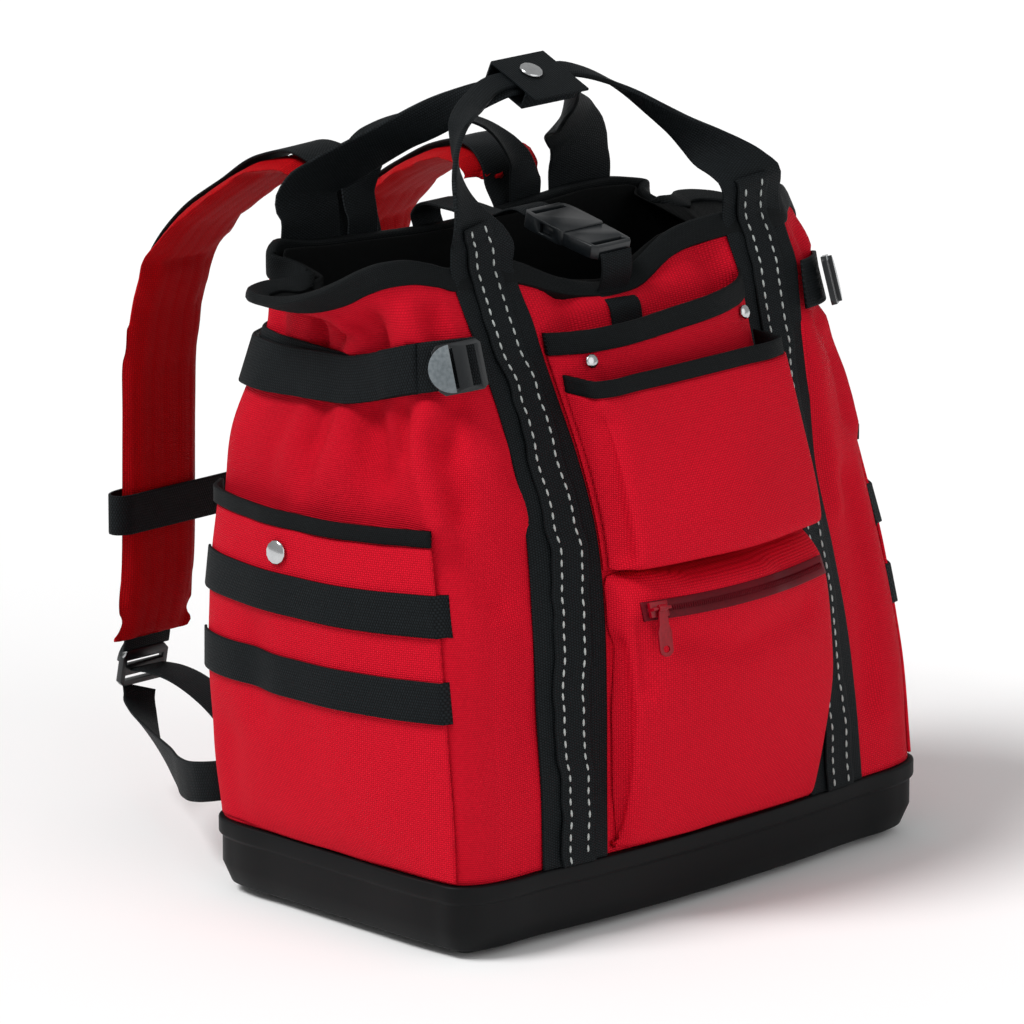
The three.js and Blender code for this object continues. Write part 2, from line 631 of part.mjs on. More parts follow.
// Handles: x in shares of STRAP_X, y of half the depth, z of the rise from the rim to the handle's top
const APEX_Y = 0.17;
const APEX_LEAN = 24;
const STACK = 2.6;
const FRONT_HANDLE = [
  { x: -1.05, y: -0.405, z: 0.22, yaw: 14, width: 0.97 },
  { x: -1.07, y: -0.31, z: 0.56, yaw: 38, width: 0.85 },
  { x: -0.90, y: -0.15, z: 0.88, yaw: 62, width: 0.70 },
  { x: -0.60, y: 0.05, z: 0.98, yaw: 82, width: 0.60, lean: 16 },
  { x: -0.36, y: APEX_Y, z: 1.00, yaw: 90, width: 0.55, lean: APEX_LEAN },
  { x: -0.07, y: APEX_Y, z: 1.00, yaw: 90, width: 0.55, lean: APEX_LEAN },
  { x: 0.18, y: APEX_Y, z: 1.00, yaw: 90, width: 0.55, lean: APEX_LEAN },
  { x: 0.45, y: 0.07, z: 0.87, yaw: 96, width: 0.58, lean: 12 },
  { x: 0.68, y: -0.07, z: 0.60, yaw: 112, width: 0.72 },
  { x: 0.88, y: -0.26, z: 0.32, yaw: 138, width: 0.90 },
  { x: 0.985, y: -0.42, z: 0.13, yaw: 172, width: 0.98 },
];
const REAR_HANDLE = [
  { x: -1.00, y: 0.945, z: 0.14, yaw: 180, width: 1 },
  { x: -0.74, y: 0.84, z: 0.38, yaw: 165, width: 1 },
  { x: -0.52, y: 0.52, z: 0.70, yaw: 130, width: 0.85 },
  { x: -0.36, y: APEX_Y, z: 0.95, yaw: 90, width: 0.55, lean: APEX_LEAN },
  { x: -0.07, y: APEX_Y, z: 0.95, yaw: 90, width: 0.55, lean: APEX_LEAN },
  { x: 0.18, y: APEX_Y, z: 0.95, yaw: 90, width: 0.55, lean: APEX_LEAN },
  { x: 0.39, y: 0.36, z: 0.78, yaw: 66, width: 0.62 },
  { x: 0.62, y: 0.64, z: 0.50, yaw: 38, width: 0.80 },
  { x: 0.86, y: 0.86, z: 0.30, yaw: 14, width: 0.95 },
  { x: 0.985, y: 0.915, z: 0.12, yaw: 2, width: 1 },
];

function handleFrames(table, leftTop, rightTop, offset) {
  const rim = BASE_HEIGHT + BAG_HEIGHT;
  const apex = v3(0, -Math.sin(THREE.MathUtils.degToRad(APEX_LEAN)), Math.cos(THREE.MathUtils.degToRad(APEX_LEAN)));
  const route = table.map((row) => {
    const p = v3(row.x * STRAP_X, row.y * deep, rim + row.z * (HANDLE_TOP - rim));
    if (row.lean === APEX_LEAN) p.copy(v3(row.x * STRAP_X, APEX_Y * deep, HANDLE_TOP)).addScaledVector(apex, offset);
    return { ...row, p };
  });
  const centre = (ring) => along(ring[0], ring[2], 0.5);
  const straight = table === FRONT_HANDLE ? [0, 180] : [180, 0];
  route.unshift({ p: centre(leftTop), yaw: straight[0], width: 1 });
  route.push({ p: centre(rightTop), yaw: straight[1], width: 1 });
  return framesOn(route, HANDLE_STEPS, STRAP_WIDTH, HANDLE_SETTLE).slice(1, -1);
}

function makeHandles() {
  for (const toBack of [false, true]) {
    const left = faceRings(-1, toBack);
    const right = faceRings(1, toBack);
    const table = toBack ? REAR_HANDLE : FRONT_HANDLE;
    const frames = handleFrames(table, left.at(-1), right.at(-1), toBack ? -STACK : STACK);
    const rings = [...left, ...webRings(frames), ...right.toReversed()];
    place(toBack ? 'back_webbing' : 'front_webbing', strip(rings), WEBBING);
    if (!toBack) {
      const kept = ROWS.length + 1 + STRIP_ABOVE_RIM;
      place('stitch_strip_left', strip(layOn(rings.slice(0, kept), STRIP_WIDTH, STRIP_CLEAR)), WEBBING);
      place('stitch_strip_right', strip(layOn(rings.slice(-kept), STRIP_WIDTH, STRIP_CLEAR)), WEBBING);
    }
  }
  makeWrap();
}

function makeWrap() {
  const middle = -0.07 * STRAP_X;
  const wide = 0.55 * STRAP_WIDTH + 3;
  const tall = 2 * STACK + WEB + 2;
  const ring = boxAt(WRAP_LENGTH, wide + 2 * WEB, tall + 2 * WEB).subtract(boxAt(WRAP_LENGTH + 2, wide, tall));
  const tab = boxAt(WRAP_LENGTH, WRAP_TAB, WEB, 0, -wide / 2 - WRAP_TAB / 2 - WEB + 0.5, tall / 2 + WEB / 2);
  const tilt = THREE.MathUtils.degToRad(APEX_LEAN);
  const seat = v3(middle, APEX_Y * deep, HANDLE_TOP);
  const wrapMesh = place('handle_wrap', toGeometry(ring.add(tab)), WEBBING);
  wrapMesh.rotation.x = tilt;
  wrapMesh.position.copy(seat);
  const snap = place('handle_snap', snapShape(), STEEL);
  snap.rotation.x = tilt + Math.PI / 2;
  snap.position.copy(seat).add(v3(SNAP_SHIFT, 0, tall / 2 + WEB + GAP).applyAxisAngle(v3(1, 0, 0), tilt));
}

// A snap's cap: a low dome with a rolled edge, standing on +Y before it is placed
function domeShape(diameter, height, sides) {
  const r = diameter / 2;
  const profile = [[0, 0], [r * 0.92, 0], [r, height * 0.3], [r * 0.9, height * 0.62], [r * 0.55, height * 0.92], [0, height]];
  return new THREE.LatheGeometry(profile.map(([x, y]) => new THREE.Vector2(x, y)), sides);
}
const snapShape = () => welded(domeShape(SNAP_DIAMETER, SNAP_HEIGHT, 12));

function welded(geometry) {
  return toGeometry(toSolid(geometry));
}

// Points a lathed cap's own +Y along a direction and seats it there
function seatCap(mesh, p, direction) {
  mesh.quaternion.setFromUnitVectors(v3(0, 1, 0), direction.clone().normalize());
  mesh.position.copy(p);
}

const columnOf = (side, k) => (side > 0 ? k : COLUMNS - k);
const sideName = (side) => (side > 0 ? 'right' : 'left');

// Side pockets: bellied sheets from the front corner to the rear corner, open at the top
const SIDE_POCKET_ROWS = [
  { rise: 0.004, share: 0 }, { rise: 0.035, share: 0.45 }, { rise: 0.12, share: 0.85 },
  ...bandRows.map((rise) => ({ rise, share: 1 })), { rise: SIDE_POCKET_RISE, share: 0.85 },
];
const POCKET_FIRST = 6;
const POCKET_LAST = rearLast - 1;
const belly = (t) => 1 - Math.abs(2 * t - 1) ** 3.2;

function makeSidePocket(side) {
  const name = sideName(side);
  const columns = [];
  for (let k = POCKET_FIRST; k <= POCKET_LAST; k++) columns.push(k);
  const liftAt = (k, share) => WEB_CLEAR + SIDE_POCKET_DEPTH * share * belly((k - POCKET_FIRST) / (POCKET_LAST - POCKET_FIRST));
  const gridAt = (extra) => SIDE_POCKET_ROWS.map(({ rise, share }) =>
    columns.map((k) => skinAt(columnOf(side, k), rise, liftAt(k, share) + extra)));
  place(`side_pocket_${name}`, sheetBetween(gridAt(POCKET_WALL), gridAt(0)), FABRIC);
  const top = SIDE_POCKET_ROWS.at(-1);
  const tape = columns.map((k) => {
    const lift = liftAt(k, top.share);
    const c = columnOf(side, k);
    const at = (extra, raise) => {
      const p = skinAt(c, top.rise, lift + extra);
      return p.setZ(p.z + raise);
    };
    const [low, high] = [GAP, GAP + POCKET_TAPE];
    return [at(POCKET_WALL + TAPE, low), at(POCKET_WALL + TAPE, high), at(0, high), at(0, low)];
  });
  place(`side_binding_${name}`, strip(tape), WEBBING);
  bandRows.forEach((low, i) => {
    if (i % 2) return;
    const high = bandRows[i + 1];
    const inset = columns.slice(1, -1);
    const band = inset.map((k) => {
      const c = columnOf(side, k);
      const lift = liftAt(k, 1) + POCKET_WALL + GAP;
      return [skinAt(c, low, lift + WEB), skinAt(c, high, lift + WEB), skinAt(c, high, lift), skinAt(c, low, lift)];
    });
    place(`tool_band_${i ? 'high' : 'low'}_${name}`, strip(band), WEBBING);
  });
  const snap = place(`pocket_snap_${name}`, snapShape(), STEEL);
  const c = columnOf(side, SNAP_COLUMN);
  const seat = skinAt(c, SNAP_RISE, liftAt(SNAP_COLUMN, 0.93) + POCKET_WALL + SNAP_CLEAR);
  seatCap(snap, seat, skinOut[ROWS.indexOf(SIDE_POCKET_RISE)][c].clone().setZ(SNAP_TILT));
}

// Front pockets: sheets whose lift off the bag's front is given across and up
const PANEL_ROWS = [
  { rise: 0.475, share: 0 }, { rise: SIDE_POCKET_RISE, share: 0.05 }, { rise: 0.60, share: 0.14 },
  { rise: 0.66, share: 0.27 }, { rise: 0.70, share: 0.42 }, { rise: cinchLow, share: 0.70 }, { rise: CINCH_RISE, share: 0.93 },
  { rise: 0.81, share: 1 },
];
const UPPER_ROWS = [
  { rise: 0.476, share: 0 }, { rise: 0.479, share: 0.50 }, { rise: 0.487, share: 0.93 }, { rise: 0.505, share: 1 },
  { rise: 0.56, share: 1 }, { rise: 0.63, share: 0.99 }, { rise: 0.70, share: 0.97 }, { rise: 0.76, share: 0.95 },
];
const UPPER_COLUMNS = [
  { x: 1.000, share: 0 }, { x: 0.996, share: 0.5 }, { x: 0.975, share: 0.93 }, { x: 0.91, share: 1 },
  { x: 0.524, share: 1.03 },
];
const LOWER_ROWS = [
  { rise: 0.005, share: 0 }, { rise: 0.010, share: 0.22 }, { rise: 0.03, share: 0.42 }, { rise: 0.12, share: 0.78 },
  { rise: 0.24, share: 0.98 }, { rise: 0.34, share: 1.04 }, { rise: 0.40, share: 1 }, { rise: 0.43, share: 0.90 },
  { rise: 0.452, share: 0.55 }, { rise: 0.461, share: 0.2 }, { rise: 0.465, share: 0 },
];
const LOWER_COLUMNS = [
  { x: 1.000, share: 0 }, { x: 0.994, share: 0.42 }, { x: 0.968, share: 0.85 }, { x: 0.90, share: 1 },
  { x: 0.50, share: 1.16 },
];
const mirrorColumns = (columns, middle) => [
  ...columns.map((c) => ({ x: -c.x, share: c.share })), { x: 0, share: middle }, ...columns.toReversed(),
];
const panelShape = (x) => 1 - Math.abs(x / PANEL_HALF) ** 4;
const panelLift = (x, rise) => WEB_CLEAR + PANEL_DEPTH * panelShape(x) * readShare(PANEL_ROWS, rise);
const pinchAt = (rise) => readTable(SECTIONS, 'pinch', rise);
const onFront = (x, rise, lift) => faceAt(x * pinchAt(rise), rise, lift);

function makePanel() {
  const places = [PANEL_HALF, PANEL_HALF * 0.9, PANEL_HALF * 0.74, strapInner / 2];
  const columns = [...places.map((x) => -x), 0, ...places.toReversed()];
  const gridAt = (extra) => PANEL_ROWS.map(({ rise }) => columns.map((x) => onFront(x, rise, panelLift(x, rise) + extra)));
  place('organiser_panel', sheetBetween(gridAt(POCKET_WALL), gridAt(0)), FABRIC);
  const top = PANEL_ROWS.at(-1).rise;
  place('organiser_binding', strip(columns.map((x) => tapeRing(x, top, panelLift(x, top)))), WEBBING);
  for (const side of [-1, 1]) {
    const rivet = place(`rivet_${sideName(side)}`, welded(domeShape(RIVET_DIAMETER, RIVET_HEIGHT, 10)), STEEL);
    const x = side * RIVET_X;
    seatCap(rivet, onFront(x, RIVET_RISE, panelLift(x, RIVET_RISE) + POCKET_WALL + RIVET_CLEAR), v3(side * 0.12, -1, 0.28));
  }
}

// Tape standing on a front sheet's top edge
function tapeRing(x, rise, lift, tall = BINDING_HEIGHT) {
  const at = (extra, raise) => {
    const p = onFront(x, rise, lift + extra);
    return p.setZ(p.z + raise);
  };
  const back = tall * FRONT_LEAN;
  return [at(POCKET_WALL + TAPE, GAP), at(POCKET_WALL + TAPE - back, GAP + tall), at(-back, GAP + tall), at(0, GAP)];
}

function pocketGrid(rows, columns, halfWidth, base, depth) {
  return rows.map((row) => columns.map((column) => {
    const x = column.x * halfWidth;
    const from = base(x, row.rise);
    return onFront(x, row.rise, from + (depth(row.rise) - from) * row.share * column.share);
  }));
}

function makeUpperPocket() {
  const columns = mirrorColumns(UPPER_COLUMNS, 1.05);
  const base = (x, rise) => panelLift(x, rise) + POCKET_WALL + GAP + POCKET_WALL;
  const depth = () => UPPER_DEPTH;
  const grid = pocketGrid(UPPER_ROWS, columns, UPPER_HALF, base, depth);
  place('upper_pocket', sheet(grid, POCKET_WALL), FABRIC);
  const edge = grid.at(-1);
  const inner = sheetInner(grid, POCKET_WALL).at(-1);
  const tape = edge.map((p, i) => {
    const q = inner[i];
    const out = p.clone().sub(q).setZ(0).normalize();
    const at = (point, push, raise) => point.clone().addScaledVector(out, push).add(v3(0, raise * FRONT_LEAN, raise));
    return [at(p, TAPE / 2, GAP), at(p, TAPE / 2, GAP + POCKET_TAPE), at(q, 0, GAP + POCKET_TAPE), at(q, 0, GAP)];
  });
  place('upper_pocket_binding', strip(tape), WEBBING);
}

function makeLowerPocket() {
  const columns = mirrorColumns(LOWER_COLUMNS, 1.22);
  const base = () => WEB_CLEAR + POCKET_WALL;
  const depth = () => LOWER_DEPTH;
  const grid = pocketGrid(LOWER_ROWS, columns, LOWER_HALF, base, depth);
  place('lower_pocket', sheet(grid, POCKET_WALL), FABRIC);
  const low = LOWER_ROWS.findIndex((row) => row.rise === 0.40);
  const inset = (row) => row.slice(3, -3);
  const [a, b] = [inset(grid[low]), inset(grid[low + 1])];
  const tape = a.map((p, i) => {
    const q = b[i];
    const next = a[Math.min(i + 1, a.length - 1)].clone().sub(a[Math.max(i - 1, 0)]);
    const out = next.cross(q.clone().sub(p)).normalize();
    const at = (point, push) => point.clone().addScaledVector(out, push);
    return [at(p, GAP + ZIP_THICK), at(q, GAP + ZIP_THICK), at(q, GAP), at(p, GAP)];
  });
  place('zip_tape', strip(tape), RED_METAL);
  const slope = faceOfRings(tape, ZIP_X, 0.9).sub(faceOfRings(tape, ZIP_X, 0.1)).normalize();
  const run = faceOfRings(tape, ZIP_X + SLIDER_LONG).sub(faceOfRings(tape, ZIP_X)).normalize();
  makeZip(faceOfRings(tape, ZIP_X), run, slope);
}

// Middle of a laid strip's outer face at a place across
function faceOfRings(rings, x, share = 0.5) {
  for (let i = 0; i < rings.length - 1; i++) {
    const [a, b] = [rings[i], rings[i + 1]].map((ring) => along(ring[0], ring[1], share));
    if (x >= a.x && x <= b.x) return along(a, b, (x - a.x) / (b.x - a.x));
  }
  return rings[0][0].clone();
}

// The slider rides on the teeth, and its bar carries the pull's knuckle
function makeZip(seat, run, slope) {
  const body = boxAt(SLIDER_LONG, SLIDER_THICK, SLIDER_TALL, 0, -SLIDER_THICK / 2, 0);
  const barY = -SLIDER_THICK - BAR_STAND;
  const bar = toSolid(new THREE.CylinderGeometry(BAR_RADIUS, BAR_RADIUS, SLIDER_LONG, 10).rotateZ(Math.PI / 2).translate(0, barY, 0));
  const postWide = (SLIDER_LONG - KNUCKLE_LONG) / 2 - 2 * GAP;
  const postAt = (s) => boxAt(postWide, BAR_STAND + BAR_RADIUS, 2 * BAR_RADIUS, s * (SLIDER_LONG - postWide) / 2, barY + (BAR_STAND - BAR_RADIUS) / 2 + 0.2, 0);
  const slider = place('zip_slider', toGeometry(body.add(bar).add(postAt(-1)).add(postAt(1))), RED_METAL);
  const turned = (up) => new THREE.Matrix4().makeBasis(run, up.clone().cross(run).normalize(), up);
  slider.quaternion.setFromRotationMatrix(turned(slope.addScaledVector(run, -run.dot(slope)).normalize()));
  slider.position.copy(seat).add(v3(0, -SLIDER_CLEAR, 0).applyEuler(slider.rotation));
  const tab = new THREE.Shape();
  const w = PULL_WIDE / 2;
  tab.moveTo(-w * 0.6, 0).lineTo(-w * 0.7, -PULL_LONG * 0.3).lineTo(-w, -PULL_LONG * 0.45).lineTo(-w, -PULL_LONG + w);
  tab.absarc(0, -PULL_LONG + w, w, Math.PI, 2 * Math.PI, false);
  tab.lineTo(w, -PULL_LONG * 0.45).lineTo(w * 0.7, -PULL_LONG * 0.3).lineTo(w * 0.6, 0).closePath();
  const hole = new THREE.Path().absarc(0, -PULL_LONG + w, w * 0.48, 0, 2 * Math.PI, true);
  tab.holes.push(hole);
  const plate = new THREE.ExtrudeGeometry(tab, { depth: PULL_THICK, bevelEnabled: false, curveSegments: 6 });
  plate.rotateX(Math.PI / 2).translate(0, PULL_THICK / 2, -KNUCKLE_RADIUS + 0.6);
  const knuckle = toSolid(new THREE.CylinderGeometry(KNUCKLE_RADIUS, KNUCKLE_RADIUS, KNUCKLE_LONG, 12).rotateZ(Math.PI / 2));
  const bore = toSolid(new THREE.CylinderGeometry(BAR_RADIUS + GAP, BAR_RADIUS + GAP, KNUCKLE_LONG + 2, 12).rotateZ(Math.PI / 2));
  const standing = toSolid(plate);
  const pull = place('zip_pull', toGeometry(standing.add(knuckle).subtract(bore)), RED_METAL);
  const hang = v3(0, PULL_LEAN, 1);
  pull.quaternion.setFromRotationMatrix(turned(hang.addScaledVector(run, -run.dot(hang)).normalize()));
  pull.position.copy(slider.position).add(v3(0, barY, 0).applyEuler(slider.rotation));
}

// Cinch straps round the sides, their locks beside the front straps, and the free tails over them
function makeCinch(side) {
  const name = sideName(side);
  const ringAt = (k, lift, drop = 0) => {
    const c = columnOf(side, k);
    const at = (rise, push) => {
      const p = skinAt(c, rise, push);
      return p.setZ(p.z - drop);
    };
    return [at(cinchLow, lift + WEB), at(cinchHigh, lift + WEB), at(cinchHigh, lift), at(cinchLow, lift)];
  };
  const rings = [];
  const edge = ringAt(3, WEB_CLEAR).map((p, i) => along(p, ringAt(4, WEB_CLEAR)[i], CINCH_START));
  rings.push(edge);
  for (let k = 4; k <= rearLast; k++) rings.push(ringAt(k, WEB_CLEAR));
  place(`cinch_strap_${name}`, strip(rings, side), WEBBING);
  const tail = [];
  const tailLift = WEB_CLEAR + WEB + GAP;
  for (let k = TAIL_FIRST; k <= rearLast; k++) {
    const t = (k - TAIL_FIRST) / (rearLast - TAIL_FIRST);
    tail.push(ringAt(k, tailLift + TAIL_STAND * t, TAIL_DROP * t * t));
  }
  const end = tail.at(-1);
  const onward = end[0].clone().sub(tail.at(-2)[0]).normalize().multiplyScalar(TAIL_FREE);
  tail.push(end.map((p) => p.clone().add(onward)));
  place(`cinch_tail_${name}`, strip(tail, side), WEBBING);
  const lockRing = ringAt(LOCK_COLUMN, WEB_CLEAR + WEB + LOCK_CLEAR);
  const [high, low] = [lockRing[2], lockRing[3]];
  const next = ringAt(LOCK_COLUMN + 1, WEB_CLEAR + WEB)[2].sub(ringAt(LOCK_COLUMN - 1, WEB_CLEAR + WEB)[2]);
  const up = high.clone().sub(low).normalize();
  const towards = next.addScaledVector(up, -next.dot(up)).normalize();
  const lock = place(`cinch_lock_${name}`, lockShape(CINCH_WIDTH), PLASTIC);
  const x = towards.clone().negate();
  const z = side > 0 ? up.clone().negate() : up;
  lock.quaternion.setFromRotationMatrix(new THREE.Matrix4().makeBasis(x, z.clone().cross(x), z));
  lock.position.copy(along(low, high, 0.5));
}

// A ladder lock: a frame with two windows and a rounded thumb tab, its back on the XZ plane
function lockShape(webWidth, long = LOCK_LONG) {
  const wide = webWidth + 2 * LOCK_RIM;
  const h = wide / 2;
  const l = long / 2;
  const plan = evenOutline([[-l, -h + 4], [-l + 4, -h], [l - 3, -h], [l, -h + 3]]);
  let frame = outlineBody(plan, LOCK_THICK);
  for (const [from, to] of LOCK_WINDOWS) {
    frame = frame.subtract(boxAt((to - from) * long, webWidth, LOCK_THICK + 2, (from + to) / 2 * long));
  }
  const thumb = new THREE.Shape().absarc(LOCK_THUMB * long, 0, h * 0.95, Math.PI / 2, Math.PI * 1.5, false);
  const tab = new THREE.ExtrudeGeometry(thumb, { depth: LOCK_TAB, bevelEnabled: false, curveSegments: 12 });
  const whole = frame.add(toSolid(tab.translate(0, 0, LOCK_THICK / 2 - GAP)));
  return toGeometry(whole.rotate([90, 0, 0]).translate([0, -LOCK_THICK / 2, 0]));
}

// Webbing lying up or down the front or back face. way is 1 where its width runs to +X, else -1.
function faceStrap(x, width, rise, lift, toBack, way = 1, raise = 0) {
  const [first, second] = [x - way * width / 2, x + way * width / 2];
  const at = (place2, d) => {
    const p = faceAt(place2, rise, d, toBack);
    return p.setZ(p.z + raise);
  };
  return [at(first, lift + WEB), at(second, lift + WEB), at(second, lift), at(first, lift)];
}
const middleOf = (ring) => along(ring[0], ring[2], 0.5);

// The fastened closure: a strap from the back, the buckle across the mouth, a strap down the front
function makeClosure() {
  const rim = BASE_HEIGHT + BAG_HEIGHT;
  const upper = v3(CLOSURE_X, BUCKLE_BACK * deep, rim - BUCKLE_BACK_DROP);
  const lower = v3(CLOSURE_X, BUCKLE_FRONT * deep, rim - BUCKLE_FRONT_DROP);
  const d = lower.clone().sub(upper).normalize();
  const up = d.clone().cross(v3(1, 0, 0));
  const turn = new THREE.Matrix4().makeBasis(d, v3(1, 0, 0), up);
  for (const [name, shape] of [['buckle_female', femaleShape()], ['buckle_male', maleShape()]]) {
    const mesh = place(name, shape, PLASTIC);
    mesh.quaternion.setFromRotationMatrix(turn);
    mesh.position.copy(upper);
  }
  const route = [
    { p: upper.clone().addScaledVector(d, -GAP) }, { p: upper.clone().addScaledVector(d, -12) },
    { p: v3(CLOSURE_X, 0.42 * deep, rim - 10) }, { p: v3(CLOSURE_X, 0.70 * deep, rim - 9) },
  ];
  const over = faceStrap(CLOSURE_X, CLOSURE_WIDTH, 1, 0, true, 1, BINDING_HEIGHT + GAP + WEB_CLEAR + WEB / 2);
  route.push({ p: middleOf(over).add(v3(0, -SHELL_WALL, 2)) });
  const edge = faceStrap(CLOSURE_X, CLOSURE_WIDTH, 1, BINDING_PROUD + WEB_CLEAR, true, 1, BINDING_HEIGHT - 3);
  route.push({ p: middleOf(edge).add(v3(0, 2.7, 0)) });
  const frames = framesOn(route, 16, CLOSURE_WIDTH);
  const down = rimRows.toReversed().map((rise) =>
    faceStrap(CLOSURE_X, CLOSURE_WIDTH, rise, rise === 1 ? BINDING_PROUD + WEB_CLEAR : WEB_CLEAR, true));
  place('closure_strap_back', strip([...webRings(frames), ...down]), WEBBING);
  const end = upper.clone().addScaledVector(d, BUCKLE_LONG + 2 * GAP + 0.4);
  const start = [CINCH_RISE, cinchHigh, BLEND_FROM, rimRows[1]].map((rise) => faceStrap(CLOSURE_X, CLOSURE_WIDTH, rise, WEB_CLEAR, false));
  const last = middleOf(start.at(-1));
  const rise = [{ p: last }, { p: last.clone().lerp(end, 0.5).add(v3(0, -2.5, 1)) }, { p: end }];
  place('closure_strap_front', strip([...start, ...webRings(framesOn(rise, 5, CLOSURE_WIDTH).slice(1))]), WEBBING);
}

const outlineBody = (points, depth) => {
  const shape = new THREE.Shape(points.map(([x, y]) => new THREE.Vector2(x, y)));
  return toSolid(new THREE.ExtrudeGeometry(shape, { depth, bevelEnabled: false }).translate(0, 0, -depth / 2));
};
const evenOutline = (points) => [...points, ...points.toReversed().map(([x, y]) => [x, -y])];

function femaleShape() {
  const w = BUCKLE_WIDE / 2;
  const l = FEMALE_LONG;
  const plan = evenOutline([[0, -w + 4], [3, -w + 1], [10, -w], [l - 2, -w], [l, -w + 1.5]]);
  const slot = boxAt(4, CLOSURE_WIDTH + 1, BUCKLE_THICK + 2, 5.5);
  const cavity = boxAt(l - 12, 2 * CAVITY_HALF, CAVITY_THICK, 12 + (l - 12) / 2 + 0.5);
  const windows = boxAt(11, BUCKLE_WIDE + 2, CAVITY_THICK + 0.8, 21.5).subtract(boxAt(12, 2 * CAVITY_HALF - 3, 20, 21.5));
  return toGeometry(outlineBody(plan, BUCKLE_THICK).subtract(slot).subtract(cavity).subtract(windows));
}

function maleShape() {
  const w = BUCKLE_WIDE / 2 - 0.5;
  const from = FEMALE_LONG + GAP;
  const plan = evenOutline([[from, -w], [from + 10, -w], [BUCKLE_LONG - 4, -w + 1], [BUCKLE_LONG, -w + 4]]);
  const slot = boxAt(4, CLOSURE_WIDTH + 1, BUCKLE_THICK + 2, BUCKLE_LONG - 6);
  const armHalf = CAVITY_HALF - 2 * GAP;
  const thick = CAVITY_THICK - 2 * GAP;
  const arm = (s) => boxAt(from - 15, 3.5, thick, (from + 16) / 2, s * (armHalf - 1.75))
    .add(boxAt(9, 3.4, thick, 21.5, s * (armHalf + 1)));
  const tongue = boxAt(from - 17, 5, thick, (from + 18) / 2);
  return toGeometry(outlineBody(plan, BUCKLE_THICK - 1.5).subtract(slot).add(arm(-1)).add(arm(1)).add(tongue));
}

// A webbing loop behind the rear handle, to hang the bag by
function makeHaulLoop() {
  const rises = rimRows;
  const leg = (side, way) => rises.map((rise) =>
    faceStrap(side * HAUL_X, HAUL_WIDTH, rise, rise === 1 ? BINDING_PROUD + WEB_CLEAR : WEB_CLEAR, true, way));
  const left = leg(-1, -1);
  left.push(faceStrap(-HAUL_X, HAUL_WIDTH, 1, BINDING_PROUD + WEB_CLEAR, true, -1, BINDING_HEIGHT));
  const right = leg(1, 1);
  right.push(faceStrap(HAUL_X, HAUL_WIDTH, 1, BINDING_PROUD + WEB_CLEAR, true, 1, BINDING_HEIGHT));
  const rim = BASE_HEIGHT + BAG_HEIGHT;
  const at = (x, y, z) => v3(x * HAUL_X, y * deep, rim + z * HAUL_RISE);
  const route = [
    { p: middleOf(left.at(-1)), yaw: 180 }, { p: at(-1.0, 0.975, 0.16), yaw: 176 }, { p: at(-0.80, 1.01, 0.78), yaw: 130 },
    { p: at(-0.1, 1.06, 1), yaw: 92 }, { p: at(0.62, 1.03, 0.68), yaw: 50 }, { p: at(0.98, 0.97, 0.05), yaw: 12 },
    { p: middleOf(right.at(-1)), yaw: 0 },
  ];
  const frames = framesOn(route, 20, HAUL_WIDTH).slice(1, -1);
  place('haul_loop', strip([...left, ...webRings(frames), ...right.toReversed()]), WEBBING);
}

// Shoulder pads: x in shares of PAD_SPREAD, y of PAD_REACH behind the back, z of BAG_HEIGHT
const PAD_ROUTE = [
  { x: 0.77, y: 0.115, left: 0.986, right: 0.956 }, { x: 0.79, y: 0.165, left: 1.030, right: 0.992 },
  { x: 0.84, y: 0.285, left: 1.052, right: 1.005 }, { x: 0.90, y: 0.53, left: 0.982, right: 0.955 },
  { x: 0.965, y: 0.78, left: 0.872, right: 0.862 }, { x: 0.99, y: 0.895, left: 0.713, right: 0.713 },
  { x: 1.00, y: 0.915, left: 0.531, right: 0.531 }, { x: 1.00, y: 0.915, left: 0.365, right: 0.365 },
  { x: 1.00, y: 0.93, left: 0.236, right: 0.236 }, { x: 1.00, y: 0.965, left: 0.143, right: 0.143 },
];
const PAD_SECTION = [[-1, 0.3], [-0.56, 1], [0.56, 1], [1, 0.3], [1, -0.3], [0.56, -1], [-0.56, -1], [-1, -0.3]];

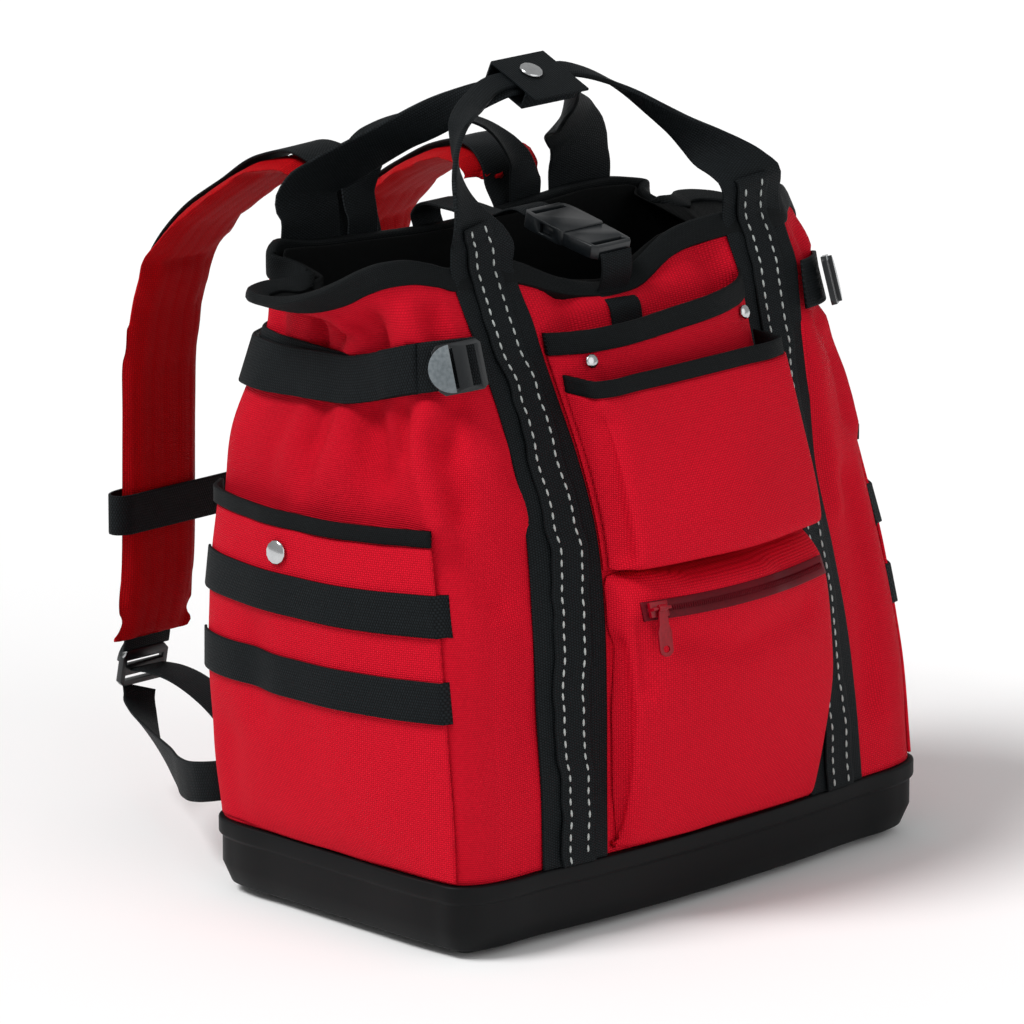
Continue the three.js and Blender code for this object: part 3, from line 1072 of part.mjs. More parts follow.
function makeShoulder(side) {
  const name = sideName(side);
  const backY = 0.88 * deep;
  const route = PAD_ROUTE.map((row) => ({
    p: v3(side * row.x * PAD_SPREAD, backY + row.y * PAD_REACH, BASE_HEIGHT + row[name] * BAG_HEIGHT),
  }));
  const frames = framesOn(route, PAD_STEPS, PAD_WIDTH);
  const plump = (k) => PAD_THICK / 2 * Math.min(1, 0.35 + 0.65 * Math.min(k, frames.length - 1 - k) / 2);
  const rings = frames.map(({ p, w, n, width }, k) => PAD_SECTION.map(([a, b]) =>
    p.clone().addScaledVector(w, a * width / 2).addScaledVector(n, b * plump(k))));
  place(`shoulder_pad_${name}`, loft(rings), FABRIC);
  const webRing = ({ p, w, n }, lift) => {
    const at = (a, h) => p.clone().addScaledVector(w, a * PAD_WEB_WIDTH / 2).addScaledVector(n, h);
    return [at(-1, lift + WEB), at(1, lift + WEB), at(1, lift), at(-1, lift)];
  };
  const rootX = side * PAD_ROUTE[0].x * PAD_SPREAD;
  const rootLift = WEB_CLEAR + WEB + GAP;
  const root = [cinchHigh, BLEND_FROM, rimRows[1]].map((rise) => faceStrap(rootX, PAD_WEB_WIDTH, rise, rootLift, true).toReversed());
  const bend = faceStrap(rootX, PAD_WEB_WIDTH, 1, BINDING_PROUD + 2 * rootLift, true).toReversed();
  const last = frames.at(-1);
  const tangent = last.p.clone().sub(frames.at(-2).p).normalize();
  const beyond = { ...last, p: last.p.clone().addScaledVector(tangent, PAD_DROP) };
  const onPad = frames.map((frame, k) => webRing(frame, plump(k) + GAP));
  const web = [...root, bend, ...onPad, webRing(beyond, plump(frames.length - 1) + GAP)];
  place(`pad_web_${name}`, strip(web), WEBBING);
  const lock = place(`shoulder_lock_${name}`, lockShape(PAD_WEB_WIDTH - 8, SHOULDER_LOCK_LONG), PLASTIC);
  const n = last.n;
  lock.quaternion.setFromRotationMatrix(new THREE.Matrix4().makeBasis(tangent, n.clone().negate(), last.w.clone().negate()));
  const centre = beyond.p.clone().addScaledVector(tangent, GAP + SHOULDER_LOCK_LONG / 2).addScaledVector(n, plump(0));
  lock.position.copy(centre);
  makeLowerWeb(side, centre.clone().addScaledVector(tangent, SHOULDER_LOCK_LONG / 2 + 13 * GAP).addScaledVector(n, LOCK_THICK / 2));
  makeTail(side, centre.clone().addScaledVector(n, -3.5 * GAP - WEB_CLEAR - WEB / 2));
}

// From the lock back to the bag's lower corner, twisting from flat to upright
function makeLowerWeb(side, start) {
  const name = sideName(side);
  const rootRise = (LOWER_WEB_WIDTH / 2 + 2) / BAG_HEIGHT;
  const rootAt = (x) => faceAt(side * x, rootRise, 2 * WEB_CLEAR + WEB / 2, true);
  const backY = rootAt(half * 0.75).y;
  const at = (x, y, z) => v3(side * x * half, backY + y * PAD_REACH, BASE_HEIGHT + z * LOWER_WEB_WIDTH);
  const lean = (degrees) => (side > 0 ? degrees : -degrees);
  const route = [
    { p: start, lean: 0 }, { p: at(0.45, 0.93, 0.45), lean: lean(15) }, { p: at(0.56, 0.76, 0.2), lean: lean(45) },
    { p: at(0.75, 0.42, 0.2), lean: lean(75) }, { p: at(0.885, 0.19, 0.35), lean: lean(88) },
    { p: at(0.90, 0.085, 0.5), lean: lean(90) }, { p: at(0.85, 0.02, 0.58), lean: lean(90) },
    { p: rootAt(half * 0.78), lean: lean(90) }, { p: rootAt(half * 0.70), lean: lean(90) },
  ];
  place(`lower_web_${name}`, webbing(framesOn(route, 15, LOWER_WEB_WIDTH)), WEBBING);
}

function makeTail(side, start) {
  const at = (dx, dy, dz) => start.clone().add(v3(side * dx, dy, dz));
  const route = [{ p: start }, { p: at(4, -22, 3) }, { p: at(10, -50, 3) }, { p: at(17, -84, -4) }, { p: at(22, -116, -20) }];
  place(`shoulder_tail_${sideName(side)}`, webbing(framesOn(route, 9, LOWER_WEB_WIDTH)), WEBBING);
}

// Chest strap: wraps each pad's outer edge and crosses between them
function makeSternum() {
  const y = 0.88 * deep + 0.915 * PAD_REACH;
  const z = BASE_HEIGHT + STERNUM_RISE * BAG_HEIGHT;
  const outer = PAD_SPREAD + PAD_WIDTH / 2;
  const skim = PAD_THICK / 2 + WEB_CLEAR + WEB / 2;
  const end = [
    [outer - 13, skim + 0.6], [outer - 4, skim - 0.3], [outer + 2.6, 3.6], [outer + 3.8, 0], [outer + 2.6, -3.6],
    [outer - 4, -skim + 0.2], [outer - 13, -skim],
  ];
  const points = [...end.map(([x, dy]) => [-x, dy]), [0, -skim], ...end.toReversed()];
  const route = points.map(([x, dy]) => ({ p: v3(x, y + dy, z), lean: 90 }));
  place('sternum_strap', webbing(framesOn(route, 32, STERNUM_WIDTH)), WEBBING);
}

makeBody();
makeHandles();
for (const side of [-1, 1]) {
  makeSidePocket(side);
  makeCinch(side);
  makeShoulder(side);
}
makePanel();
makeUpperPocket();
makeLowerPocket();
makeClosure();
makeHaulLoop();
makeSternum();

export default group;
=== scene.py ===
# %% [markdown]
# A tool backpack: red canvas on a black moulded base, with black webbing, pockets and padded shoulder
# straps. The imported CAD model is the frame. Each soft CAD solid gives its place and its main form, and is
# then replaced by a piece with real cloth, folds, thread and rounded edges.

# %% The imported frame
import json
import math

import bmesh
import bpy
import numpy as np
from mathutils import Matrix, Vector, noise
from mathutils.bvhtree import BVHTree

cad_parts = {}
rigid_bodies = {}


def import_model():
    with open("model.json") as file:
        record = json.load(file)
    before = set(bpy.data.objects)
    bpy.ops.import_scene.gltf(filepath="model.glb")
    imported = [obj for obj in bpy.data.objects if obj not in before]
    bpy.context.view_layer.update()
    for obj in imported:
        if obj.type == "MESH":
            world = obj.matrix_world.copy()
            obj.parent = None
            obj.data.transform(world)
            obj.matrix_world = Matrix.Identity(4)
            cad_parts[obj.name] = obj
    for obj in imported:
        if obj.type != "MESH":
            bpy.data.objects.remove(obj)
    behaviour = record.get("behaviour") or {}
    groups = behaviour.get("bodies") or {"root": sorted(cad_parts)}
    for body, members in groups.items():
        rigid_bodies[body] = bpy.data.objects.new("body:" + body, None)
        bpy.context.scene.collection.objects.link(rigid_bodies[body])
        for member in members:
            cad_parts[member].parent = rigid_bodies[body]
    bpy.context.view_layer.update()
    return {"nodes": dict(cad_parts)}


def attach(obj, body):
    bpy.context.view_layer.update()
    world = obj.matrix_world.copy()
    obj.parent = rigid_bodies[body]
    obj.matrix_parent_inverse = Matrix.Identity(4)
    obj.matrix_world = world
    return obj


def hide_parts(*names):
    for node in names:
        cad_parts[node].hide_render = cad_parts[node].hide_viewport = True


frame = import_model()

MM = 0.001

# %% [markdown]
# The camera stands where the photograph was taken from: to the front left, a little above, and far away,
# so that the bag shows almost no perspective. A long lens does the same here. The bag isn't quite in the
# middle of the photograph, so the camera is moved a little to the side rather than shifted.

# %% Camera
AZIMUTH = math.radians(-44.689)
ELEVATION = math.radians(14.864)
DISTANCE = 5.3823
TARGET = Vector((0, 0, 0.230))
TO_CAMERA = Vector((
    math.sin(AZIMUTH) * math.cos(ELEVATION),
    -math.cos(AZIMUTH) * math.cos(ELEVATION),
    math.sin(ELEVATION),
))
TO_RIGHT = Vector((math.cos(AZIMUTH), math.sin(AZIMUTH), 0))
TO_TOP = TO_CAMERA.cross(TO_RIGHT)

camera_data = bpy.data.cameras.new("camera")
camera_data.lens = 316.4
camera_data.sensor_width = 36
camera_data.clip_start = 0.5
camera_data.clip_end = 60
camera = bpy.data.objects.new("camera", camera_data)
camera.location = TARGET + TO_CAMERA * DISTANCE - TO_RIGHT * 0.0306 - TO_TOP * 0.0143
camera.rotation_mode = "QUATERNION"
camera.rotation_quaternion = (-TO_CAMERA).to_track_quat("-Z", "Y")
bpy.context.scene.collection.objects.link(camera)
bpy.context.scene.camera = camera
print("camera at", [round(c, 3) for c in camera.location])

# %% [markdown]
# Colours are written as the sRGB hex values that a designer reads off a swatch, and one function turns
# them into the linear numbers that the renderer adds up. One more function adds a node, sets it and links
# what feeds it, so that each material below reads as a short recipe.

# %% Colour and node helpers
def linear(swatch):
    parts = [int(swatch[i:i + 2], 16) / 255 for i in (1, 3, 5)]
    return [c / 12.92 if c <= 0.04045 else ((c + 0.055) / 1.055) ** 2.4 for c in parts] + [1]


def add(tree, kind, values=(), feeds=(), **settings):
    made = tree.nodes.new(kind)
    for name, value in settings.items():
        setattr(made, name, value)
    for socket, value in dict(values).items():
        made.inputs[socket].default_value = value
    for socket, source in dict(feeds).items():
        tree.links.new(source, made.inputs[socket])
    return made


def finish_named(name):
    material = bpy.data.materials.new(name)
    material.use_nodes = True
    material.node_tree.nodes.clear()
    return material, material.node_tree


def surface(tree, values, colour, rough=None, bump=None):
    feeds = {"Base Color": colour}
    if rough is not None:
        feeds["Roughness"] = rough
    if bump is not None:
        feeds["Normal"] = bump
    shader = add(tree, "ShaderNodeBsdfPrincipled", values, feeds)
    add(tree, "ShaderNodeOutputMaterial", feeds={"Surface": shader.outputs["BSDF"]})


def maths(tree, operation, first, second=0.0):
    made = add(tree, "ShaderNodeMath", operation=operation)
    for i, value in enumerate((first, second)):
        if isinstance(value, (int, float)):
            made.inputs[i].default_value = value
        else:
            tree.links.new(value, made.inputs[i])
    return made.outputs[0]


def two_colours(tree, factor, low, high):
    mix = add(tree, "ShaderNodeMix", {"A": linear(low), "B": linear(high)}, data_type="RGBA")
    tree.links.new(factor, mix.inputs["Factor"])
    return mix.outputs["Result"]


print("red canvas is", [round(c, 3) for c in linear("#D0101C")])

# %% [markdown]
# The studio: a pale floor, a pale world and two wide soft suns. The photograph is a catalogue shot with
# almost no shadow, lit from the front and above, with a little more light from the left. The plain view
# transform keeps the canvas as saturated as it is in print.

# %% Floor and soft light
paper, paper_tree = finish_named("matt_paper_floor")
paper_noise = add(paper_tree, "ShaderNodeTexNoise", {"Scale": 3.0, "Detail": 1.0})
paper_colour = two_colours(paper_tree, paper_noise.outputs["Fac"], "#F8F8F8", "#FCFCFC")
surface(paper_tree, {"Roughness": 0.9, "Specular IOR Level": 0.0}, paper_colour)

floor_mesh = bpy.data.meshes.new("floor")
floor_bm = bmesh.new()
bmesh.ops.create_grid(floor_bm, x_segments=1, y_segments=1, size=8)
bmesh.ops.translate(floor_bm, verts=floor_bm.verts, vec=(0, 0, -0.0005))
floor_bm.to_mesh(floor_mesh)
floor_bm.free()
floor = bpy.data.objects.new("floor", floor_mesh)
floor_mesh.materials.append(paper)
bpy.context.scene.collection.objects.link(floor)
bpy.context.scene.view_settings.view_transform = "Standard"

world = bpy.data.worlds.new("studio")
world.use_nodes = True
world.node_tree.nodes["Background"].inputs["Color"].default_value = linear("#FFFFFF")
world.node_tree.nodes["Background"].inputs["Strength"].default_value = 0.42
bpy.context.scene.world = world


def soft_sun(name, right, up, toward, strength, spread):
    data = bpy.data.lights.new(name, "SUN")
    data.energy = strength
    data.angle = math.radians(spread)
    placed = bpy.data.objects.new(name, data)
    direction = TO_RIGHT * right + TO_TOP * up + TO_CAMERA * toward
    placed.rotation_mode = "QUATERNION"
    placed.rotation_quaternion = (-direction).to_track_quat("-Z", "Y")
    bpy.context.scene.collection.objects.link(placed)


soft_sun("key", -0.75, 1.0, 0.6, 2.3, 25)
soft_sun("fill", 0.8, 0.2, 0.9, 0.75, 60)
print("two suns and a floor")

# %% [markdown]
# The body is a coarse plain-woven polyester canvas. Its threads cross over and under, so at close range
# it is a grid of small pillows that catch the light in turn. The weave reads the cloth's own UV map, which
# is in metres, so a thread is as wide on a pad as on the bag. Real threads are about 0.8 mm apart. They are
# drawn 1.25 mm apart here, because finer ones would vanish between the render's pixels.

# %% Woven canvas
THREAD = 1.25 * MM


def weave(tree, pitch_across, pitch_along):
    uv = add(tree, "ShaderNodeUVMap", uv_map="thread")
    parts = add(tree, "ShaderNodeSeparateXYZ", feeds={"Vector": uv.outputs["UV"]})
    x = maths(tree, "MULTIPLY", parts.outputs["X"], math.pi / pitch_across)
    y = maths(tree, "MULTIPLY", parts.outputs["Y"], math.pi / pitch_along)
    sx = maths(tree, "SINE", x)
    sy = maths(tree, "SINE", y)
    pillow = maths(tree, "MULTIPLY", maths(tree, "ABSOLUTE", sx), maths(tree, "ABSOLUTE", sy))
    over = maths(tree, "GREATER_THAN", maths(tree, "MULTIPLY", sx, sy), 0.0)
    return pillow, over


def canvas(name, shade, light):
    material, tree = finish_named(name)
    pillow, over = weave(tree, THREAD, THREAD)
    place = add(tree, "ShaderNodeTexCoord")
    broad = add(
        tree, "ShaderNodeTexNoise", {"Scale": 9.0, "Detail": 3.0}, {"Vector": place.outputs["Object"]})
    slub = add(
        tree, "ShaderNodeTexNoise", {"Scale": 420.0, "Detail": 2.0}, {"Vector": place.outputs["Object"]})
    # Painted light: the crests of the thread pillows and the threads lying on top are painted lighter, a painted
    # highlight, and the hollows between them darker, painted shade. The slub and broad noise add tone that varies
    # at random.
    lit = maths(tree, "MULTIPLY_ADD", pillow, 0.55)
    lit.node.inputs[2].default_value = 0.12
    lit = maths(tree, "ADD", lit, maths(tree, "MULTIPLY", over, 0.16))
    lit = maths(tree, "ADD", lit, maths(tree, "MULTIPLY", slub.outputs["Fac"], 0.22))
    lit = maths(tree, "ADD", lit, maths(tree, "MULTIPLY", broad.outputs["Fac"], 0.16))
    colour = two_colours(tree, lit, shade, light)
    height = maths(tree, "ADD", pillow, maths(tree, "MULTIPLY", slub.outputs["Fac"], 0.3))
    bump = add(tree, "ShaderNodeBump", {"Strength": 0.85, "Distance": 0.45 * MM}, {"Height": height})
    values = {"Roughness": 0.7, "Specular IOR Level": 0.07}
    surface(tree, values, colour, bump=bump.outputs["Normal"])
    return material


# Each canvas is given as a painted-shade red and a painted-highlight red, and the weave blends the two.
RED_CANVAS = canvas("polyester_canvas_red", "#82020E", "#E8142E")
# The pad canvas is a darker red: partly a darker cloth, partly painted shade where the pads stand in shade.
PAD_CANVAS_DARK_AND_SHADED = canvas("polyester_canvas_pad_red_and_painted_shade", "#6C0004", "#C40410")
print("canvas threads every", THREAD / MM, "mm")

# %% [markdown]
# The webbing is heavy black polypropylene. Each warp thread goes over two picks, so it shows rows of short
# ribs across the strap, and neighbouring columns are half a rib apart. Its colour paints light in: the rib
# crests are a cool dark grey, a painted sheen, and the grooves nearly black, painted shade.

# %% Black webbing and tape
RIB = 1.6 * MM


def ribbed(name, painted_groove_shade, painted_crest_sheen, rib, column):
    material, tree = finish_named(name)
    uv = add(tree, "ShaderNodeUVMap", uv_map="thread")
    parts = add(tree, "ShaderNodeSeparateXYZ", feeds={"Vector": uv.outputs["UV"]})
    across = maths(tree, "DIVIDE", parts.outputs["X"], column)
    odd = maths(tree, "MODULO", maths(tree, "FLOOR", across), 2.0)
    odd = maths(tree, "MULTIPLY", maths(tree, "ABSOLUTE", odd), 0.5)
    along = maths(tree, "ADD", maths(tree, "DIVIDE", parts.outputs["Y"], rib), odd)
    wave = maths(tree, "ABSOLUTE", maths(tree, "SINE", maths(tree, "MULTIPLY", along, math.pi)))
    cord = maths(tree, "ABSOLUTE", maths(tree, "SINE", maths(tree, "MULTIPLY", across, math.pi)))
    height = maths(tree, "MULTIPLY", wave, maths(tree, "POWER", cord, 0.5))
    place = add(tree, "ShaderNodeTexCoord")
    fuzz = add(
        tree, "ShaderNodeTexNoise", {"Scale": 600.0, "Detail": 2.0}, {"Vector": place.outputs["Object"]})
    lit = maths(tree, "MULTIPLY", height, maths(tree, "ADD", fuzz.outputs["Fac"], 0.35))
    # Painted light: the rib crests are painted a lighter cool grey, a painted sheen, and the grooves nearly black,
    # painted shade. Fine noise varies the crests at random.
    colour = two_colours(tree, lit, painted_groove_shade, painted_crest_sheen)
    bump = add(tree, "ShaderNodeBump", {"Strength": 0.7, "Distance": 0.4 * MM}, {"Height": height})
    values = {"Roughness": 0.6, "Specular IOR Level": 0.1}
    surface(tree, values, colour, bump=bump.outputs["Normal"])
    return material


# Each tape's first colour is painted shade in the grooves, and its second is a painted sheen on the rib crests.
WEBBING = ribbed("polypropylene_webbing_black", "#020303", "#1E2326", RIB, 1.7 * MM)
BINDING = ribbed("grosgrain_binding_black", "#020303", "#171B1D", 1.2 * MM, 1.2 * MM)
LINING = ribbed("polyester_lining_black", "#030404", "#0E1011", 1.0 * MM, 1.0 * MM)
print("webbing ribs every", RIB / MM, "mm")

# %% [markdown]
# The base is a matt rubbery moulding with a fine spark-eroded grain. The buckle and the ladder locks are
# glass-smooth acetal with soft highlights. Snaps and rivets are nickel-plated steel, and the zip's slider
# is red enamelled zinc. Fine noise gives each its grain, and broader noise its handling marks.

# %% Moulded, plated and enamelled parts
def moulded(name, dark, light, values, grain, depth):
    material, tree = finish_named(name)
    place = add(tree, "ShaderNodeTexCoord")
    fine = add(
        tree, "ShaderNodeTexNoise", {"Scale": grain, "Detail": 3.0}, {"Vector": place.outputs["Object"]})
    broad = add(
        tree, "ShaderNodeTexNoise", {"Scale": 14.0, "Detail": 4.0}, {"Vector": place.outputs["Object"]})
    marks = maths(tree, "MULTIPLY", broad.outputs["Fac"], fine.outputs["Fac"])
    colour = two_colours(tree, marks, dark, light)
    rough = maths(tree, "MULTIPLY_ADD", broad.outputs["Fac"], 0.16)
    rough.node.inputs[2].default_value = values["Roughness"] - 0.08
    bump = add(tree, "ShaderNodeBump", {"Strength": 0.5, "Distance": depth}, {"Height": fine.outputs["Fac"]})
    surface(tree, values, colour, rough, bump.outputs["Normal"])
    return material


BASE_RUBBER = moulded(
    "moulded_rubber_black", "#030405", "#0C0E10",
    {"Roughness": 0.55, "Specular IOR Level": 0.16}, 900.0, 0.12 * MM)
ACETAL = moulded("acetal_black", "#080A0C", "#242A2E", {"Roughness": 0.3}, 500.0, 0.03 * MM)
# The pale grey acetal is a painted highlight on the ladder locks' glossy thumb tabs.
ACETAL_PAINTED_HIGHLIGHT = moulded("acetal_painted_highlight_grey", "#4A5256", "#A8B0B4", {"Roughness": 0.25}, 500.0, 0.03 * MM)
NICKEL = moulded(
    "nickel_plated_steel", "#B9BBBC", "#E8E9EA",
    {"Roughness": 0.2, "Metallic": 1.0}, 300.0, 0.01 * MM)
ENAMEL = moulded(
    "enamelled_zinc_red", "#6A0010", "#C0001E",
    {"Roughness": 0.3, "Specular IOR Level": 0.3}, 700.0, 0.02 * MM)
ZIP_RED = moulded(
    "polyester_coil_wine_red", "#3A0008", "#90001A",
    {"Roughness": 0.5, "Specular IOR Level": 0.15}, 900.0, 0.05 * MM)
THREAD_PALE = moulded("reflective_thread_grey", "#8E9492", "#D5D8D4", {"Roughness": 0.55}, 1500.0, 0.05 * MM)
print(len(bpy.data.materials), "materials")

# %% [markdown]
# Most solids of the CAD model are lofts: rings of points joined one after the other. Merging a copy's loose
# triangles and walking outwards from one end gives those rings back, in order. The walk is what lets a
# strap be drawn again with a real selvedge and with ribs that follow its length.

# %% Rings of a CAD loft
def merged_copy(node):
    bm = bmesh.new()
    bm.from_mesh(frame["nodes"][node].data)
    bmesh.ops.remove_doubles(bm, verts=bm.verts, dist=1e-6)
    return bm


def around(vertex):
    return {edge.other_vert(vertex) for edge in vertex.link_edges}


def walked(loop, skip=None):
    inside = {}
    for v in loop:
        others = [edge.other_vert(v) for edge in v.link_edges if edge is not skip]
        inside[v] = [other for other in others if other in loop]
    start = min(loop, key=lambda v: v.index)
    order = [start]
    while len(order) < len(loop):
        ahead = [v for v in inside[order[-1]] if v not in order]
        if not ahead:
            break
        order.append(ahead[0])
    return order


def rings_from(first, behind=()):
    rings, seen = [first], set(first) | set(behind)
    while True:
        ahead = set().union(*[around(v) for v in rings[-1]]) - seen
        if len(ahead) != len(first):
            return rings
        loop = walked(ahead)
        best = None
        for line in (loop, loop[::-1]):
            for turn in range(len(line)):
                tried = line[turn:] + line[:turn]
                if all(b in around(a) for a, b in zip(rings[-1], tried)):
                    length = sum((a.co - b.co).length for a, b in zip(rings[-1], tried))
                    if best is None or length < best[0]:
                        best = (length, tried)
        if best is None:
            return rings
        rings.append(best[1])
        seen |= ahead


def points_of(rings):
    return np.array([[tuple(v.co) for v in ring] for ring in rings])


def tape_rings(node):
    bm = merged_copy(node)
    bm.verts.index_update()
    runs = []
    for edge in bm.edges:
        cap = {v for face in edge.link_faces for v in face.verts}
        if len(cap) == 4 and len(set().union(*[around(v) for v in cap]) - cap) == 4:
            run = rings_from(walked(cap, edge))
            if all(len(ring) == 4 for ring in run):
                runs.append(points_of(run))
    runs.sort(key=len)
    rings = runs[-1]
    missing = len(bm.verts) // 4 - len(rings)
    far = [run for run in runs if np.linalg.norm(run[0].mean(axis=0) - rings[0].mean(axis=0)) > 20 * MM]
    if missing > 0 and far:
        for ring in far[-1][:missing][::-1]:
            turns = [np.roll(line, turn, axis=0) for line in (ring, ring[::-1]) for turn in range(4)]
            rings = np.concatenate([rings, [min(turns, key=lambda t: np.linalg.norm(t - rings[-1]))]])
    bm.free()
    wide = np.linalg.norm(rings[:, 1] - rings[:, 0], axis=1).mean()
    tall = np.linalg.norm(rings[:, 2] - rings[:, 1], axis=1).mean()
    return rings if wide > tall else np.roll(rings, 1, axis=1)


print("front webbing has", len(tape_rings("front_webbing")), "rings")

# %% [markdown]
# Between the CAD rings a strap bends smoothly. A cubic through the rings gives stations a few millimetres
# apart, and a grid is bent over the stations: the grid is one Blender operator, and its points are then
# moved into place.

# %% Smooth stations and bent grids
def through(points, spacing):
    gaps = np.linalg.norm(np.diff(points, axis=0), axis=2).mean(axis=1)
    at = np.concatenate([[0], np.cumsum(gaps)])
    slope = np.diff(points, axis=0) / gaps[:, None, None]
    tangent = np.concatenate([slope[:1], np.zeros_like(slope[1:]), slope[-1:]])
    before, after = gaps[:-1, None, None], gaps[1:, None, None]
    tangent[1:-1] = (slope[:-1] * after + slope[1:] * before) / (before + after)
    count = max(2, round(at[-1] / spacing) + 1)
    where = np.linspace(0, at[-1], count)
    k = np.clip(np.searchsorted(at, where, side="right") - 1, 0, len(gaps) - 1)
    t = ((where - at[k]) / gaps[k])[:, None, None]
    h = gaps[k][:, None, None]
    a, b = points[k], points[k + 1]
    m, n = tangent[k] * h, tangent[k + 1] * h
    smooth = (2 * t**3 - 3 * t**2 + 1) * a + (t**3 - 2 * t**2 + t) * m
    return smooth + (3 * t**2 - 2 * t**3) * b + (t**3 - t**2) * n, where


def ring_through(points, steps):
    looped = np.concatenate([points[-2:], points, points[:3]])
    out = []
    for i in range(len(points)):
        p0, p1, p2, p3 = looped[i + 1], looped[i + 2], looped[i + 3], looped[i + 4]
        h0, h1, h2 = (np.linalg.norm(d, axis=-1).mean() for d in (p1 - p0, p2 - p1, p3 - p2))
        m1 = ((p1 - p0) / h0 * h1 + (p2 - p1) / h1 * h0) / (h0 + h1) * h1
        m2 = ((p2 - p1) / h1 * h2 + (p3 - p2) / h2 * h1) / (h1 + h2) * h1
        for s in range(steps):
            t = s / steps
            a = (2 * t**3 - 3 * t**2 + 1) * p1 + (t**3 - 2 * t**2 + t) * m1
            out.append(a + (3 * t**2 - 2 * t**3) * p2 + (t**3 - t**2) * m2)
    return np.array(out)


def bent_grid(name, points, uv, closed=False, capped=False):
    rows, columns = points.shape[:2]
    bm = bmesh.new()
    bmesh.ops.create_grid(bm, x_segments=columns - 1, y_segments=rows - 1, size=1)
    bm.verts.ensure_lookup_table()
    thread = bm.loops.layers.uv.new("thread")
    for v, p in zip(bm.verts, points.reshape(-1, 3)):
        v.co = p
    flat = uv.reshape(-1, 2)
    for face in bm.faces:
        face.smooth = True
        for loop in face.loops:
            loop[thread].uv = flat[loop.vert.index]
    if closed:
        bmesh.ops.remove_doubles(bm, verts=bm.verts, dist=1e-7)
    if capped:
        rim = [e for e in bm.edges if e.is_boundary]
        bmesh.ops.holes_fill(bm, edges=rim, sides=0)
    bmesh.ops.recalc_face_normals(bm, faces=bm.faces)
    return mesh_object(name, bm)


def mesh_object(name, bm):
    mesh = bpy.data.meshes.new(name)
    bm.to_mesh(mesh)
    bm.free()
    made = bpy.data.objects.new(name, mesh)
    bpy.context.scene.collection.objects.link(made)
    return made


def dress(piece, material, nodes, body="bag"):
    piece.data.materials.clear()
    piece.data.materials.append(material)
    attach(piece, body)
    if nodes:
        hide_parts(*nodes)
    return piece


print("grids and rings are ready")

# %% [markdown]
# A length of webbing is a flat oval: its two faces swell slightly and its selvedges are round. The profile
# is given in shares of half the width and half the thickness, and is carried along the stations.

# %% Drawing webbing
OVAL = np.array([
    (-1, 0), (-0.985, 0.75), (-0.93, 1), (-0.45, 1), (0, 1), (0.45, 1), (0.93, 1), (0.985, 0.75),
    (1, 0), (0.985, -0.75), (0.93, -1), (0.45, -1), (0, -1), (-0.45, -1), (-0.93, -1), (-0.985, -0.75), (-1, 0),
])
AXIS_Y = -5 * MM
tapes = {}


def tape_stations(node, spacing=4 * MM):
    smooth, where = through(tape_rings(node), spacing)
    centre = smooth.mean(axis=1)
    across = ((smooth[:, 1] - smooth[:, 0]) + (smooth[:, 2] - smooth[:, 3])) / 4
    up = ((smooth[:, 0] + smooth[:, 1]) - (smooth[:, 2] + smooth[:, 3])) / 4
    return {"centre": centre, "across": across, "up": up, "along": where}


def draw_tape(name, s, material, nodes, crown=0.0):
    wide, tall = OVAL[:, 0], OVAL[:, 1] * (1 + crown * (1 - OVAL[:, 0] ** 2))
    points = s["centre"][:, None] + s["across"][:, None] * wide[:, None] + s["up"][:, None] * tall[:, None]
    half = np.linalg.norm(s["across"], axis=1)
    uv = np.stack([half[:, None] * wide + 0.1, np.repeat(s["along"][:, None], len(wide), 1)], axis=2)
    piece = bent_grid(name, points, uv, closed=True, capped=True)
    tapes[name] = s
    return dress(piece, material, nodes)


def folded(s, low, high, narrow):
    rise = np.clip((s["centre"][:, 2] - low) / (high - low), 0, 1)
    rise = (rise * rise * (3 - 2 * rise))[:, None]
    s["across"] = s["across"] * (1 - (1 - narrow) * rise)
    s["up"] = s["up"] * (1 + 0.7 * rise)
    return s


front_run = folded(tape_stations("front_webbing"), 405 * MM, 445 * MM, 0.5)
rear_run = folded(tape_stations("back_webbing"), 415 * MM, 455 * MM, 0.58)
front = draw_tape("front_strap", front_run, WEBBING, ["front_webbing"])
draw_tape("rear_strap", rear_run, WEBBING, ["back_webbing"])
print("straps of", len(tapes["front_strap"]["centre"]), "stations")

# %% [markdown]
# The other straps and tapes are drawn the same way. One table lists each CAD solid with its new piece's
# name and its finish: heavy webbing for what pulls, thin grosgrain tape where an edge is only bound.

# %% Straps, bands and bindings
TAIL_END_Y = -52 * MM
TAPE_TABLE = [
    ("haul_loop", "grab_loop", WEBBING),
    ("closure_strap_back", "closure_rear", WEBBING),
    ("closure_strap_front", "closure_front", WEBBING),
    ("sternum_strap", "chest_strap", WEBBING),
    ("organiser_binding", "panel_tape", BINDING),
    ("upper_pocket_binding", "upper_tape", BINDING),
]
for side in ("left", "right"):
    for solid, piece_name, finish in [
        ("cinch_strap", "side_strap", WEBBING),
        ("cinch_tail", "side_tail", WEBBING),
        ("pad_web", "pad_strap", WEBBING),
        ("lower_web", "lower_strap", WEBBING),
        ("shoulder_tail", "pad_tail", WEBBING),
        ("side_binding", "side_tape", BINDING),
    ]:
        TAPE_TABLE.append((f"{solid}_{side}", f"{piece_name}_{side}", finish))


def eased(value, low, high):
    t = np.clip((value - low) / (high - low), 0, 1)
    return t * t * (3 - 2 * t)


def drawn_up(points):
    return points + np.array([0, 0, 17 * MM]) * eased(-points[:, 1:2], -10 * MM, 70 * MM)


def sloped(points):
    across_it = (points[:, :1] + 80 * MM) / (160 * MM)
    return points + np.array([0, 1 * MM, 3 * MM]) + np.array([4 * MM, 3 * MM, 10 * MM]) * across_it


